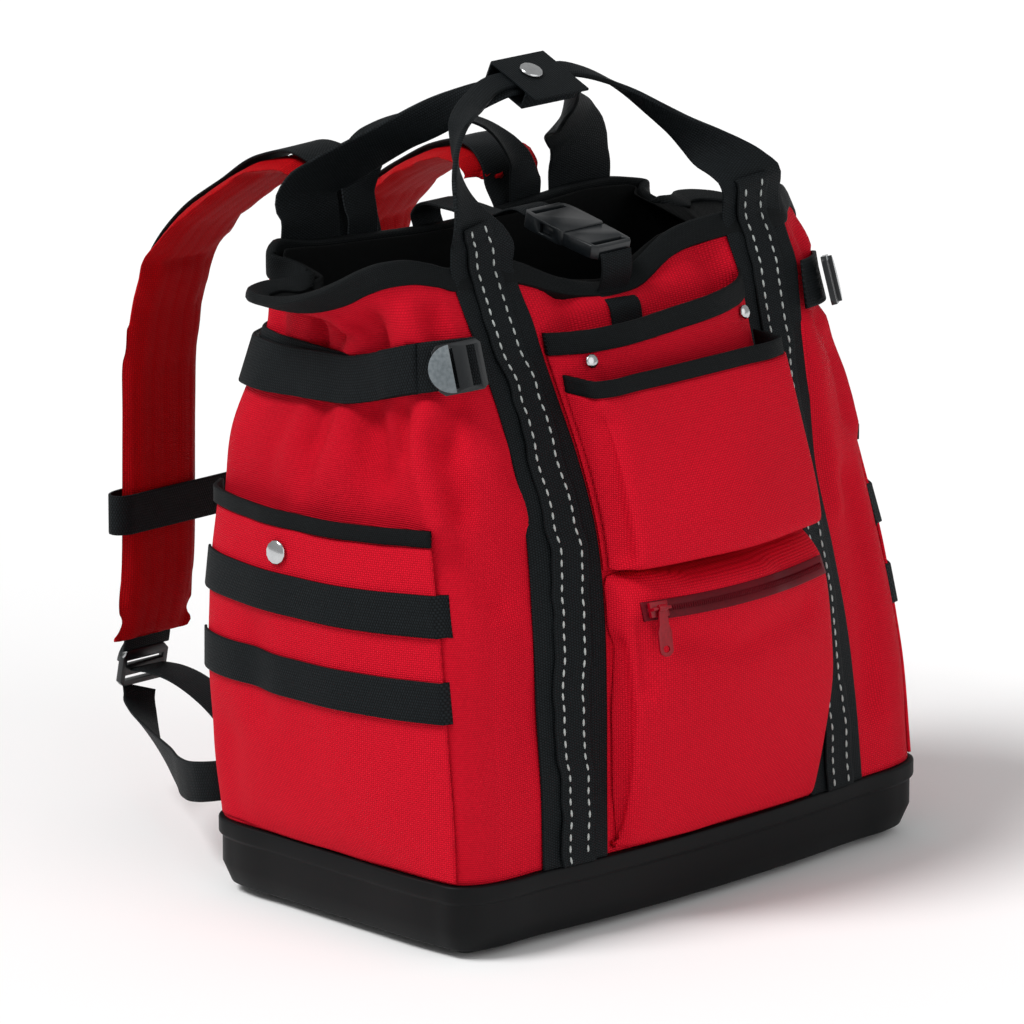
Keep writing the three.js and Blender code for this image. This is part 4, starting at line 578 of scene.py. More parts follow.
def ending_in_front(run):
    if run["centre"][0, 1] < run["centre"][-1, 1]:
        for key in ("centre", "across", "up"):
            run[key] = run[key][::-1].copy()
    return run


def longer(run, more):
    run["centre"] = np.concatenate([run["centre"], more])
    for key in ("across", "up"):
        run[key] = np.concatenate([run[key], np.repeat(run[key][-1:], len(more), axis=0)])
    gaps = np.linalg.norm(np.diff(run["centre"], axis=0), axis=1)
    run["along"] = np.concatenate([[0], np.cumsum(gaps)])
    return run


def tail_along(run, strap):
    line = strap["centre"][np.argsort(strap["centre"][:, 1])]
    front_end = run["centre"][np.argmin(run["centre"][:, 1])]
    beyond = line[(line[:, 1] < front_end[1] - 2 * MM) & (line[:, 1] > TAIL_END_Y)][::-1]
    nearest = strap["centre"][np.argmin(abs(strap["centre"][:, 1] - front_end[1]))]
    lift = (front_end - nearest) * np.array([1.1, 1.1, 0])
    run = ending_in_front(run)
    run["centre"] = drawn_up(run["centre"])
    return longer(run, beyond + lift)


for solid, piece_name, finish in TAPE_TABLE:
    run = tape_stations(solid, 3 * MM)
    if solid.startswith("cinch_strap"):
        strap_run = run
        run["centre"] = drawn_up(run["centre"])
    if solid.startswith("cinch_tail"):
        run = tail_along(run, strap_run)
    if solid == "organiser_binding":
        run["centre"] = sloped(run["centre"])
    if solid == "upper_pocket_binding":
        run["centre"] = run["centre"] + np.array([5 * MM, 0, 0]) * eased(run["centre"][:, :1], 15 * MM, 78 * MM)
    draw_tape(piece_name, run, finish, [solid])
print(len(tapes), "tapes drawn")

# %% [markdown]
# The narrow strip on each front strap carries two rows of pale reflective stitching. The strip was sewn
# under tension, so it wanders a little and puckers: here its stations move sideways and in and out on
# smooth noise, and the stitches then follow the strip. It is first seated on the strap by a ray from outside.

# %% Narrow strips
def outward(s):
    out = s["centre"] - np.array([0, AXIS_Y, 0])
    out[:, 2] = 0
    flip = np.sign((s["up"] * out).sum(axis=1))
    return s["up"] * flip[:, None]


def wander(s, seed, sideways, lift):
    unit = s["across"] / np.linalg.norm(s["across"], axis=1)[:, None]
    out = outward(s)
    out = out / np.linalg.norm(out, axis=1)[:, None]
    for i, t in enumerate(s["along"]):
        slow = noise.noise(Vector((t * 28, seed, 0.3)))
        quick = noise.noise(Vector((t * 75, seed, 4.1)))
        s["centre"][i] += unit[i] * sideways * (slow + 0.5 * quick)
        s["centre"][i] += out[i] * lift * (0.6 + noise.noise(Vector((t * 60, seed, 8.7))))
    return s


def seated(s, piece, lift):
    bpy.context.view_layer.update()
    tree = BVHTree.FromObject(piece, bpy.context.evaluated_depsgraph_get())
    out = outward(s)
    half = np.linalg.norm(out, axis=1)[:, None]
    out = out / half
    for i, centre in enumerate(s["centre"]):
        hit = tree.ray_cast(Vector(centre + out[i] * 15 * MM), Vector(-out[i]), 30 * MM)
        if hit[0] is not None:
            s["centre"][i] = np.array(hit[0]) + out[i] * (half[i] + lift)
    return s


for seed, side in enumerate(("left", "right")):
    strip = seated(tape_stations(f"stitch_strip_{side}", 3 * MM), front, 0.1 * MM)
    strip = wander(strip, seed * 7 + 1.5, 4.4 * MM, 1.0 * MM)
    draw_tape(f"strip_{side}", strip, WEBBING, [f"stitch_strip_{side}"])
print("strips", [round(tapes[f"strip_{s}"]["along"][-1] / MM) for s in ("left", "right")], "mm long")

# %% [markdown]
# A stitch is a short round thread that dips into the cloth at both ends. Each one here is a stretched
# sphere of a few dozen faces, laid along a line of points at even steps. All stitches of a line are one
# mesh.

# %% Sewing
def point_at(where, along, points):
    return Vector([np.interp(where, along, points[:, k]) for k in range(3)])


def sew(name, lines, material, long, gap, thick, seed=0.0):
    bm = bmesh.new()
    count = 0
    for points, normals in lines:
        points, normals = np.asarray(points), np.asarray(normals)
        at = np.concatenate([[0], np.cumsum(np.linalg.norm(np.diff(points, axis=0), axis=1))])
        start = gap
        while start + long < at[-1]:
            ends = [point_at(start + d, at, points) for d in (0, long)]
            up = point_at(start + long / 2, at, normals).normalized()
            run = (ends[1] - ends[0]).normalized()
            side_way = up.cross(run).normalized()
            turn = Matrix((run, side_way, side_way.cross(run) * -1)).transposed().to_4x4()
            scale = Matrix.Diagonal((long / 2, thick / 2, thick / 2, 1))
            place = Matrix.Translation((ends[0] + ends[1]) / 2 + up * thick * 0.12)
            bmesh.ops.create_uvsphere(bm, u_segments=6, v_segments=4, radius=1, matrix=place @ turn @ scale)
            start += (long + gap) * (1 + 0.08 * noise.noise(Vector((count * 0.7, seed, 0.5))))
            count += 1
    for face in bm.faces:
        face.smooth = True
    bmesh.ops.recalc_face_normals(bm, faces=bm.faces)
    piece = mesh_object(name, bm)
    dress(piece, material, [])
    return count


ROW_APART = 13.5 * MM
for side in ("left", "right"):
    s = tapes[f"strip_{side}"]
    out = outward(s)
    unit = s["across"] / np.linalg.norm(s["across"], axis=1)[:, None]
    rows = []
    for k in (-0.5, 0.5):
        rows.append((s["centre"] + unit * ROW_APART * k + out * 1.02, out))
    made = sew(f"strip_stitches_{side}", rows, THREAD_PALE, 5.0 * MM, 2.0 * MM, 1.5 * MM, seed=3.0)
    print(made, "stitches on the", side, "strip")

# %% [markdown]
# The base is a moulded tub with a rounded foot and a proud lip. The CAD copy has straight facets at its
# corners, so its rings are drawn again with a smooth curve round each corner, and every step of its
# section gets a small rounding, as a mould needs.

# %% Moulded base
def loft_rings(node, low=True):
    bm = merged_copy(node)
    bm.verts.index_update()
    ends = []
    for v in bm.verts:
        fan = around(v)
        beyond = set().union(*[around(w) for w in fan]) - fan - {v}
        if len(beyond) == len(fan) and len(fan) > 6:
            ends.append(v)
    ends.sort(key=lambda v: v.co.z)
    end = ends[0 if low else -1]
    rings = points_of(rings_from(walked(around(end)), [end]))
    bm.free()
    return rings


tub = loft_rings("base_tub")
tub = np.array([ring_through(ring, 8) for ring in tub])
tub = np.concatenate([tub, tub[:, :1]], axis=1)
tub_uv = np.zeros(tub.shape[:2] + (2,))
base = bent_grid("base", tub, tub_uv, closed=True, capped=True)
edge_round = base.modifiers.new("rounding", "BEVEL")
edge_round.width = 0.9 * MM
edge_round.segments = 2
edge_round.limit_method = "ANGLE"
edge_round.angle_limit = math.radians(35)
dress(base, BASE_RUBBER, ["base_tub"])
print("base rings", tub.shape)

# %% [markdown]
# Pockets and panels are single layers of canvas. The outer face of the CAD wall is taken, its triangles
# are joined to squares, and a subdivision surface turns the coarse net into cloth. The applied mesh is
# then moved point by point for folds, and a Solidify modifier gives it the canvas's thickness again.

# %% Cloth from a CAD wall
CANVAS_WALL = 1.8 * MM


def outer_face(node, wall, direction):
    bm = merged_copy(node)
    thin = [f for f in bm.faces if min(e.calc_length() for e in f.edges) < wall * 1.3]
    bmesh.ops.delete(bm, geom=thin, context="FACES")
    left, groups = set(bm.faces), []
    while left:
        grown = {left.pop()}
        front_line = list(grown)
        while front_line:
            face = front_line.pop()
            for e in face.edges:
                for other in e.link_faces:
                    if other in left:
                        left.discard(other)
                        grown.add(other)
                        front_line.append(other)
        groups.append(grown)
    groups.sort(key=lambda g: sum(f.calc_area() for f in g), reverse=True)
    pair = groups[:2]
    pair.sort(key=lambda g: sum(f.normal.dot(direction) * f.calc_area() for f in g))
    keep = pair[-1]
    bmesh.ops.delete(bm, geom=[f for f in bm.faces if f not in keep], context="FACES")
    bmesh.ops.join_triangles(
        bm, faces=bm.faces, angle_face_threshold=math.pi, angle_shape_threshold=math.pi)
    return bm


def subdivided(bm, name, levels):
    net = mesh_object(name + "_net", bm)
    smooth = net.modifiers.new("cloth", "SUBSURF")
    smooth.levels = smooth.render_levels = levels
    smooth.boundary_smooth = "PRESERVE_CORNERS"
    mesh = bpy.data.meshes.new_from_object(net.evaluated_get(bpy.context.evaluated_depsgraph_get()))
    bpy.data.objects.remove(net)
    made = bpy.data.objects.new(name, mesh)
    bpy.context.scene.collection.objects.link(made)
    for face in mesh.polygons:
        face.use_smooth = True
    return made


def read_points(piece):
    flat = np.empty(len(piece.data.vertices) * 3, np.float32)
    piece.data.vertices.foreach_get("co", flat)
    return flat.reshape(-1, 3).astype(float)


def read_normals(piece):
    flat = np.empty(len(piece.data.vertices) * 3, np.float32)
    piece.data.vertex_normals.foreach_get("vector", flat)
    return flat.reshape(-1, 3).astype(float)


def write_points(piece, points):
    piece.data.vertices.foreach_set("co", points.astype(np.float32).ravel())
    piece.data.update()


def thicken(piece, wall):
    solid = piece.modifiers.new("thickness", "SOLIDIFY")
    solid.thickness = wall
    solid.offset = -1
    return piece


panel_net = outer_face("organiser_panel", CANVAS_WALL, Vector((0, -1, 0)))
print("panel net has", len(panel_net.faces), "faces")
panel_net.free()

# %% [markdown]
# The body of the bag is one tube of canvas from the base to the mouth. Its outer rings come from the CAD
# shell and are drawn again about 4 mm apart. The cloth's UV map runs round the bag and up it, in metres,
# and the pockets share it, so the weave is level on all of them.

# %% Body of the bag: the smooth form
SHELL_WALL = 2.2 * MM


def body_rings():
    bm = merged_copy("shell")
    thin = [f for f in bm.faces if min(e.calc_length() for e in f.edges) < SHELL_WALL * 1.25]
    bmesh.ops.delete(bm, geom=thin, context="FACES")
    bm.verts.index_update()
    low = [v for v in bm.verts if v.co.z < 60 * MM and any(e.is_boundary for e in v.link_edges)]
    start = min(low, key=lambda v: v.co.y)
    loop = [start]
    while True:
        steps = [e.other_vert(loop[-1]) for e in loop[-1].link_edges if e.is_boundary]
        fresh = [v for v in steps if v not in loop]
        if not fresh:
            break
        loop.append(fresh[0])
    rings = points_of(rings_from(loop))
    bm.free()
    return rings


body_net = body_rings()
body, body_up = through(body_net, 4 * MM)
body = ring_through(body.transpose(1, 0, 2), 8).transpose(1, 0, 2)
print("body net", body_net.shape, "drawn as", body.shape)

# %% [markdown]
# One row of the tube, half way up, is the ruler for the weave: a point's place round the bag is the length
# along that row at the same angle.

# %% The weave's ruler
row = body[np.argmin(abs(body[:, :, 2].mean(axis=1) - 200 * MM))]
row_angle = np.mod(np.arctan2(row[:, 0], -(row[:, 1] - AXIS_Y)) + math.pi, 2 * math.pi)
row_length = np.concatenate([[0], np.cumsum(np.linalg.norm(np.diff(row, axis=0), axis=1))])
row_total = row_length[-1] + np.linalg.norm(row[0] - row[-1])
order = np.argsort(row_angle)
ruler_angle = row_angle[order]
ruler_length = np.cumsum(np.r_[0, np.linalg.norm(np.diff(row[order], axis=0), axis=1)])


def round_the_bag(x, y):
    angle = np.mod(np.arctan2(x, -(y - AXIS_Y)) + math.pi, 2 * math.pi)
    return np.interp(angle, ruler_angle, ruler_length)


def weave_map(piece):
    points = read_points(piece)
    around_it = round_the_bag(points[:, 0], points[:, 1])
    layer = piece.data.uv_layers.new(name="thread")
    loops = np.empty(len(piece.data.loops), np.int32)
    piece.data.loops.foreach_get("vertex_index", loops)
    across = around_it[loops]
    for polygon in piece.data.polygons:
        span = slice(polygon.loop_start, polygon.loop_start + polygon.loop_total)
        wide = across[span] > across[span].min() + ruler_length[-1] / 2
        across[span] -= wide * ruler_length[-1]
    flat = np.stack([across, points[loops, 2]], axis=1)
    layer.data.foreach_set("uv", flat.astype(np.float32).ravel())
    return piece


print("once round the bag is", round(row_total / MM), "mm")

# %% [markdown]
# Pockets and panels are cut from the CAD walls, subdivided, given a little slack that follows smooth noise,
# and thickened again. The folds are a table: how far each one stands out, or in where the number is
# negative, how wide it is, and the line it follows on the bag, all in millimetres. A fold fades away
# smoothly on both sides of its line. The bag is drawn in under the side straps, so most folds start there.

# %% Pockets and panels
def slack(points, normals, amount, size, seed):
    shift = np.array([noise.noise(Vector(p) / size + Vector((seed, 0, 0))) for p in points])
    return points + normals * (shift * amount)[:, None]


FOLD_DEPTH = 1.15
FOLDS = {
    "body": [
        (-4, 8, [(-178, 22, 308), (-185, 21, 290)]),
        (-7, 9, [(-175, -15, 310), (-179, -23, 297), (-181, -33, 278)]),
        (3, 12, [(-177, 2, 305), (-187, -1, 288), (-195, 20, 246)]),
        (6, 8, [(-164, -54, 315), (-171, -54, 301), (-174, -58, 287), (-173, -72, 253)]),
        (-7, 9, [(-154, -66, 316), (-163, -68, 296), (-163, -80, 262)]),
        (-5, 7, [(-171, -40, 314), (-175, -43, 292)]),
        (3, 9, [(-157, -61, 310), (-135, -77, 290)]),
        (-5, 7, [(-168, 34, 356), (-169, 33, 336)]),
        (4, 7, [(-181, -2, 362), (-171, 5, 344)]),
        (-6, 7, [(-177, -22, 367), (-172, -21, 346)]),
        (4, 7, [(-168, -39, 372), (-163, -46, 353)]),
        (-5, 7, [(-156, -48, 370), (-156, -53, 350)]),
        (-4, 9, [(-163, 74, 353), (-163, 75, 338)]),
        (4, 12, [(-152, -77, 284), (-122, -88, 253)]),
        (-4, 12, [(-169, -82, 234), (-146, -95, 208)]),
        (-4, 10, [(-55, -53, 364), (-54, -64, 345)]),
        (-4, 10, [(65, -50, 374), (72, -61, 350)]),
        (4, 10, [(133, -72, 317), (135, -84, 263), (139, -94, 214)]),
        (-5, 12, [(153, -91, 224), (155, -105, 151), (150, -114, 91)]),
    ],
    "sleeve": [
        (-3, 14, [(-215, 44, 172), (-215, 38, 130)]),
        (-4, 16, [(-208, 74, 101), (-206, 78, 60)]),
    ],
    "zip_pocket": [
        (-4, 8, [(-74, -139, 183), (-72, -143, 150)]),
        (-6, 9, [(-81, -123, 170), (-83, -132, 130), (-84, -131, 81), (-85, -127, 55)]),
        (4, 12, [(-59, -124, 209), (-36, -142, 201), (21, -144, 200)]),
        (-3, 9, [(-50, -147, 175), (-6, -154, 163), (51, -148, 172)]),
    ],
    "flat_pocket": [
        (-4, 8, [(-75, -109, 300), (-75, -116, 259), (-75, -124, 228)]),
        (2, 30, [(0, -130, 250), (20, -128, 262)]),
    ],
}


def creased(points, normals, folds, mirrored=False):
    shift = np.zeros(len(points))
    flip = np.array([-1, 1, 1]) if mirrored else np.array([1, 1, 1])
    for depth, width, line in folds:
        line = np.array(line) * MM * flip
        nearest = np.full(len(points), 1e9)
        for start, end in zip(line[:-1], line[1:]):
            leg = end - start
            t = np.clip((points - start) @ leg / (leg @ leg), 0, 1)
            nearest = np.minimum(nearest, np.linalg.norm(points - start - t[:, None] * leg, axis=1))
        share = 0.55 if mirrored else 1
        shift += share * FOLD_DEPTH * depth * MM * np.exp(-(nearest / (width * MM)) ** 2)
    return points + normals * shift[:, None]


def widened(points):
    share = eased(points[:, :1], 15 * MM, 78 * MM) * eased(points[:, 2:], 50 * MM, 130 * MM)
    return points + np.array([9 * MM, 0, 0]) * share


def cloth_from(node, name, direction, levels, amount=0.8 * MM, seed=0.0, folds=(), mirrored=False):
    piece = subdivided(outer_face(node, CANVAS_WALL, Vector(direction)), name, levels)
    points, normals = read_points(piece), read_normals(piece)
    points = slack(points, normals, amount, 45 * MM, seed)
    points = creased(points, normals, folds, mirrored)
    if name == "tool_panel":
        share = eased(points[:, 2:], 245 * MM, 335 * MM)
        points = points * (1 - share) + sloped(points) * share
    if name in ("flat_pocket", "zip_pocket"):
        points = widened(points)
    write_points(piece, points)
    weave_map(piece)
    thicken(piece, CANVAS_WALL)
    return dress(piece, RED_CANVAS, [node])


panel = cloth_from("organiser_panel", "tool_panel", (0, -1, 0), 3, seed=2.0)
upper = cloth_from("upper_pocket", "flat_pocket", (0, -1, 0), 3, seed=5.0, folds=FOLDS["flat_pocket"])
lower = cloth_from("lower_pocket", "zip_pocket", (0, -1, 0), 3, seed=9.0, folds=FOLDS["zip_pocket"])
side_left = cloth_from("side_pocket_left", "tool_sleeve_left", (-1, 0, 0), 3, seed=12.0, folds=FOLDS["sleeve"])
side_right = cloth_from(
    "side_pocket_right", "tool_sleeve_right", (1, 0, 0), 3, seed=17.0, folds=FOLDS["sleeve"], mirrored=True)
for side, sleeve in (("left", side_left), ("right", side_right)):
    way = -1 if side == "left" else 1
    for height, edge_at in (("low", (185, -94, 153)), ("high", (178, -86, 202))):
        run = ending_in_front(tape_stations(f"tool_band_{height}_{side}", 3 * MM))
        goal = np.array(edge_at) * MM * np.array([way, 1, 1])
        steps = np.linspace(0, 1, 8)[1:, None]
        last = run["centre"][-1]
        run = seated(longer(run, last + (goal - last) * steps), sleeve, 0.7 * MM)
        draw_tape(f"tool_loop_{height}_{side}", run, WEBBING, [f"tool_band_{height}_{side}"])
print("pockets of", [len(p.data.polygons) for p in (panel, upper, lower, side_left, side_right)], "faces")

# %% [markdown]
# The tube is now bent over its points. Where a strap, pocket or panel lies on it, the cloth is pressed
# just below, as sewn cloth is: a ray from inside the bag finds the first thing outside, and the point
# stays half a millimetre under it. Everywhere else the canvas keeps its soft waves.

# %% Body of the bag: cloth
def trees_of(pieces):
    bpy.context.view_layer.update()
    graph = bpy.context.evaluated_depsgraph_get()
    found = []
    for piece in pieces:
        box = np.array([piece.bound_box[0], piece.bound_box[6]])
        found.append((BVHTree.FromObject(piece, graph), box.min(axis=0) - 0.012, box.max(axis=0) + 0.012))
    return found


def pressed_under(points, normals, trees, clear=0.5 * MM, reach=9 * MM):
    out = points.copy()
    for i, (p, n) in enumerate(zip(points, normals)):
        for tree, low, high in trees:
            if (p < low).any() or (p > high).any():
                continue
            start = p - n * reach
            hit = tree.ray_cast(Vector(start), Vector(n), reach + 3 * MM)
            if hit[0] is not None and hit[3] < reach + clear:
                wanted = start + n * (hit[3] - clear)
                if (wanted - out[i]) @ n < 0:
                    out[i] = wanted
    return out


closed_body = np.concatenate([body, body[:, :1]], axis=1)
body_uv = np.stack([
    np.tile(np.linspace(0, row_total, closed_body.shape[1]), (closed_body.shape[0], 1)),
    np.tile(body_up[:, None], (1, closed_body.shape[1])),
], axis=2)
bag = bent_grid("canvas_body", closed_body, body_uv, closed=True)
points, normals = read_points(bag), read_normals(bag)
middle = points - np.array([0, AXIS_Y, 0])
middle[:, 2] = 0
if (normals * middle).sum() < 0:
    bag.data.flip_normals()
    normals = -normals
points = slack(points, normals, 1.6 * MM, 55 * MM, 31.0)
points = creased(points, normals, FOLDS["body"])
points = creased(points, normals, FOLDS["body"][:13], mirrored=True)
covers = [bpy.data.objects[n] for n in ["front_strap", "rear_strap", "grab_loop", "tool_panel", "zip_pocket"]]
covers += [bpy.data.objects[f"{n}_{s}"] for n in ("side_strap", "tool_sleeve") for s in ("left", "right")]
points = pressed_under(points, normals, trees_of(covers))
write_points(bag, points)
thicken(bag, SHELL_WALL)
dress(bag, RED_CANVAS, ["shell"])
bag.data.materials.append(LINING)
bag.modifiers["thickness"].material_offset = 1
print("canvas body of", len(bag.data.polygons), "faces")

# %% [markdown]
# The mouth is bound with grosgrain tape folded over the raw edge. It follows the top ring of the canvas's
# smooth form, as it was before slack and folds were added.

# %% Rim tape
RIM_SECTION = [
    (1.6, -12.0), (2.0, -11.0), (2.1, -6.0), (2.1, 0.0), (1.9, 1.9), (1.0, 2.9), (-1.1, 3.2),
    (-3.2, 2.9), (-4.1, 1.9), (-4.3, 0.0), (-4.3, -6.0), (-4.2, -11.0), (-3.8, -12.0), (-2.4, -12.0), (0.2, -12.0),
]


def rim_frames():
    ring = body[-1]
    below = body[-4]
    up = ring - below
    up /= np.linalg.norm(up, axis=1)[:, None]
    run = np.roll(ring, -2, axis=0) - np.roll(ring, 2, axis=0)
    run /= np.linalg.norm(run, axis=1)[:, None]
    out = np.cross(run, up)
    out /= np.linalg.norm(out, axis=1)[:, None]
    middle = ring - np.array([0, AXIS_Y, 0])
    middle[:, 2] = 0
    if (out * middle).sum() < 0:
        out = -out
    return ring, out, up


ring, out, up = rim_frames()
section = np.array(RIM_SECTION + RIM_SECTION[:1]) * MM
rim = ring[:, None] + out[:, None] * section[None, :, :1] + up[:, None] * section[None, :, 1:]
rim = np.concatenate([rim, rim[:1]])
closed_ring = np.concatenate([ring, ring[:1]])
rim_run = np.concatenate([[0], np.cumsum(np.linalg.norm(np.diff(closed_ring, axis=0), axis=1))])
section_run = np.concatenate([[0], np.cumsum(np.linalg.norm(np.diff(section, axis=0), axis=1))])
rim_uv = np.stack(np.meshgrid(section_run, rim_run), axis=2)
rim_tape = bent_grid("mouth_tape", rim, rim_uv, closed=True)
dress(rim_tape, BINDING, ["rim_binding"])
print("mouth tape", round(rim_run[-1] / MM), "mm round")

# %% [markdown]
# The lining is a thin black cloth inside the canvas. It is only seen through the mouth, so a smoothed copy
# of the CAD wall does its work. The canvas's hollows push it inwards too, so that neither cuts the other.

# %% Lining
lining_bm = merged_copy("lining")
bmesh.ops.subdivide_edges(lining_bm, edges=lining_bm.edges, cuts=3, use_grid_fill=True)
bmesh.ops.smooth_vert(
    lining_bm, verts=lining_bm.verts, factor=0.5, use_axis_x=True, use_axis_y=True, use_axis_z=True)
for face in lining_bm.faces:
    face.smooth = True
lining = mesh_object("inner_lining", lining_bm)
lining_points = read_points(lining)
away = lining_points - np.array([0, AXIS_Y, 0])
away[:, 2] = 0
away /= np.maximum(np.linalg.norm(away, axis=1), 1e-6)[:, None]
wall = (lining_points[:, 2:] > 20 * MM).astype(float)
hollows = [(depth - 1, width + 3, line) for depth, width, line in FOLDS["body"] if depth < 0]
lining_points = creased(lining_points - away * 2.2 * MM * wall, away, hollows)
write_points(lining, creased(lining_points, away, hollows[:9], mirrored=True))
weave_map(lining)
dress(lining, LINING, ["lining"])
print("lining of", len(lining.data.polygons), "faces")

# %% [markdown]
# Hard parts keep the CAD shape. Each is a merged copy whose flat facets are joined again and whose edges
# get the small radius that moulding, casting or pressing leaves, because that radius is what shines.

# %% Moulded and pressed hardware
def rounded_copy(node, name, material, radius, body="bag", angle=28):
    bm = merged_copy(node)
    bmesh.ops.dissolve_limit(
        bm, angle_limit=math.radians(2), use_dissolve_boundaries=False, verts=bm.verts, edges=bm.edges)
    sharp = [e for e in bm.edges if len(e.link_faces) == 2 and e.calc_face_angle() > math.radians(angle)]
    bmesh.ops.bevel(
        bm, geom=sharp, offset=radius, offset_type="OFFSET", segments=2, profile=0.5, affect="EDGES",
        clamp_overlap=True, material=-1)
    for face in bm.faces:
        face.smooth = True
    piece = mesh_object(name, bm)
    piece.data.set_sharp_from_angle(angle=math.radians(40))
    return dress(piece, material, [node], body)


HARDWARE = [
    ("buckle_female", "buckle_socket", ACETAL, "plastic", 0.7),
    ("buckle_male", "buckle_prongs", ACETAL, "plastic", 0.5),
    ("cinch_lock_left", "ladder_lock_left", ACETAL, "plastic", 0.5),
    ("cinch_lock_right", "ladder_lock_right", ACETAL, "plastic", 0.5),
    ("shoulder_lock_left", "pad_lock_left", ACETAL, "plastic", 0.45),
    ("shoulder_lock_right", "pad_lock_right", ACETAL, "plastic", 0.45),
    ("zip_slider", "slider", ENAMEL, "zip", 0.25),
    ("rivet_left", "panel_rivet_left", NICKEL, "steel", 0.35),
    ("rivet_right", "panel_rivet_right", NICKEL, "steel", 0.35),
    ("handle_snap", "handle_cap", NICKEL, "steel", 0.4),
    ("pocket_snap_left", "sleeve_cap_left", NICKEL, "steel", 0.4),
    ("pocket_snap_right", "sleeve_cap_right", NICKEL, "steel", 0.4),
]
MOVED = {
    "rivet_left": ((0, 1.5, 5), 1),
    "rivet_right": ((4, 4, 12), 1),
    "cinch_lock_left": ((7, -10, 16), 0.85),
    "cinch_lock_right": ((-7, -10, 16), 0.85),
}
for solid, piece_name, finish, slot_name, radius in HARDWARE:
    part = rounded_copy(solid, piece_name, finish, radius * MM)
    if solid in MOVED:
        offset, size = MOVED[solid]
        points = read_points(part)
        middle = (points.max(axis=0) + points.min(axis=0)) / 2
        write_points(part, middle + (points - middle) * size + np.array(offset) * MM)
    # The faces on one side of each ladder lock, its thumb tab, take the pale grey acetal, a painted highlight.
    if solid.startswith("cinch_lock"):
        part.data.materials.append(ACETAL_PAINTED_HIGHLIGHT)
        for face in part.data.polygons:
            face.material_index = int(face.center.y > (middle[1] + 0.0042 + offset[1] * MM))
rounded_copy("zip_pull", "pull_tab", ENAMEL, 0.25 * MM, body="pull")
print(len(HARDWARE) + 1, "hard parts")

# %% [markdown]
# The tab round both handles is a short piece of webbing, stiff where it is folded.

# %% Handle tab
tab_bm = merged_copy("handle_wrap")
bmesh.ops.dissolve_limit(
    tab_bm, angle_limit=math.radians(2), use_dissolve_boundaries=False, verts=tab_bm.verts, edges=tab_bm.edges)
bmesh.ops.bevel(
    tab_bm, geom=list(tab_bm.edges), offset=0.7 * MM, offset_type="OFFSET", segments=3, profile=0.5,
    affect="EDGES", clamp_overlap=True, material=-1)
for face in tab_bm.faces:
    face.smooth = True
tab = mesh_object("handle_tab", tab_bm)
tab_layer = tab.data.uv_layers.new(name="thread")
for loop in tab.data.loops:
    x, y, z = tab.data.vertices[loop.vertex_index].co
    tab_layer.data[loop.index].uv = (x, y + z)
dress(tab, WEBBING, ["handle_wrap"])
print("handle tab of", len(tab.data.polygons), "faces")

# %% [markdown]
# The zip: a woven tape with a coil of teeth along its middle. Each tooth is a small rounded block, and the
# two rows meet in one ridge where the zip is closed.

# %% Zip tape and teeth
TOOTH = 1.5 * MM
zip_stations = tape_stations("zip_tape", 2 * MM)
zip_stations["centre"] = widened(zip_stations["centre"])
zip_stations = seated(zip_stations, lower, 0.1 * MM)
draw_tape("zip_band", zip_stations, ZIP_RED, ["zip_tape"])
zip_out = outward(zip_stations)
zip_bm = bmesh.new()
zip_length = zip_stations["along"][-1]
tooth_at = 3 * MM
while tooth_at < zip_length - 3 * MM:
    centre = point_at(tooth_at, zip_stations["along"], zip_stations["centre"])
    ahead = point_at(tooth_at + 1 * MM, zip_stations["along"], zip_stations["centre"])
    lift = point_at(tooth_at, zip_stations["along"], zip_out)
    run = (ahead - centre).normalized()
    over = lift.normalized()
    side_way = over.cross(run).normalized()
    turn = Matrix((run, side_way, run.cross(side_way))).transposed().to_4x4()
    size = Matrix.Diagonal((TOOTH * 0.36, 1.9 * MM, 0.8 * MM, 1))
    place = Matrix.Translation(centre + over * (lift.length + 0.3 * MM)) @ turn @ size
    bmesh.ops.create_uvsphere(zip_bm, u_segments=6, v_segments=4, radius=1, matrix=place)
    tooth_at += TOOTH
for face in zip_bm.faces:
    face.smooth = True
teeth = mesh_object("zip_teeth", zip_bm)
dress(teeth, ZIP_RED, [])
print("zip of", round(zip_length / TOOTH), "teeth")

# %% [markdown]
# Each shoulder pad is a foam filling in a canvas cover. The CAD pad is remeshed, made slightly smaller and
# blown up by a short cloth simulation with pressure inside, which gives it a crowned form that pulls in at
# the edges. The sewn channels come after that, because a remesh would remove them.

# %% Shoulder pads: filling
PAD_VOXEL = 4 * MM
PAD_CAP = 2 * MM
CHANNELS = (-0.62, -0.31, 0.0, 0.31, 0.62)


def evaluated_copy(piece, name):
    bpy.context.view_layer.update()
    graph = bpy.context.evaluated_depsgraph_get()
    mesh = bpy.data.meshes.new_from_object(piece.evaluated_get(graph))
    bpy.data.objects.remove(piece)
    made = bpy.data.objects.new(name, mesh)
    bpy.context.scene.collection.objects.link(made)
    return made


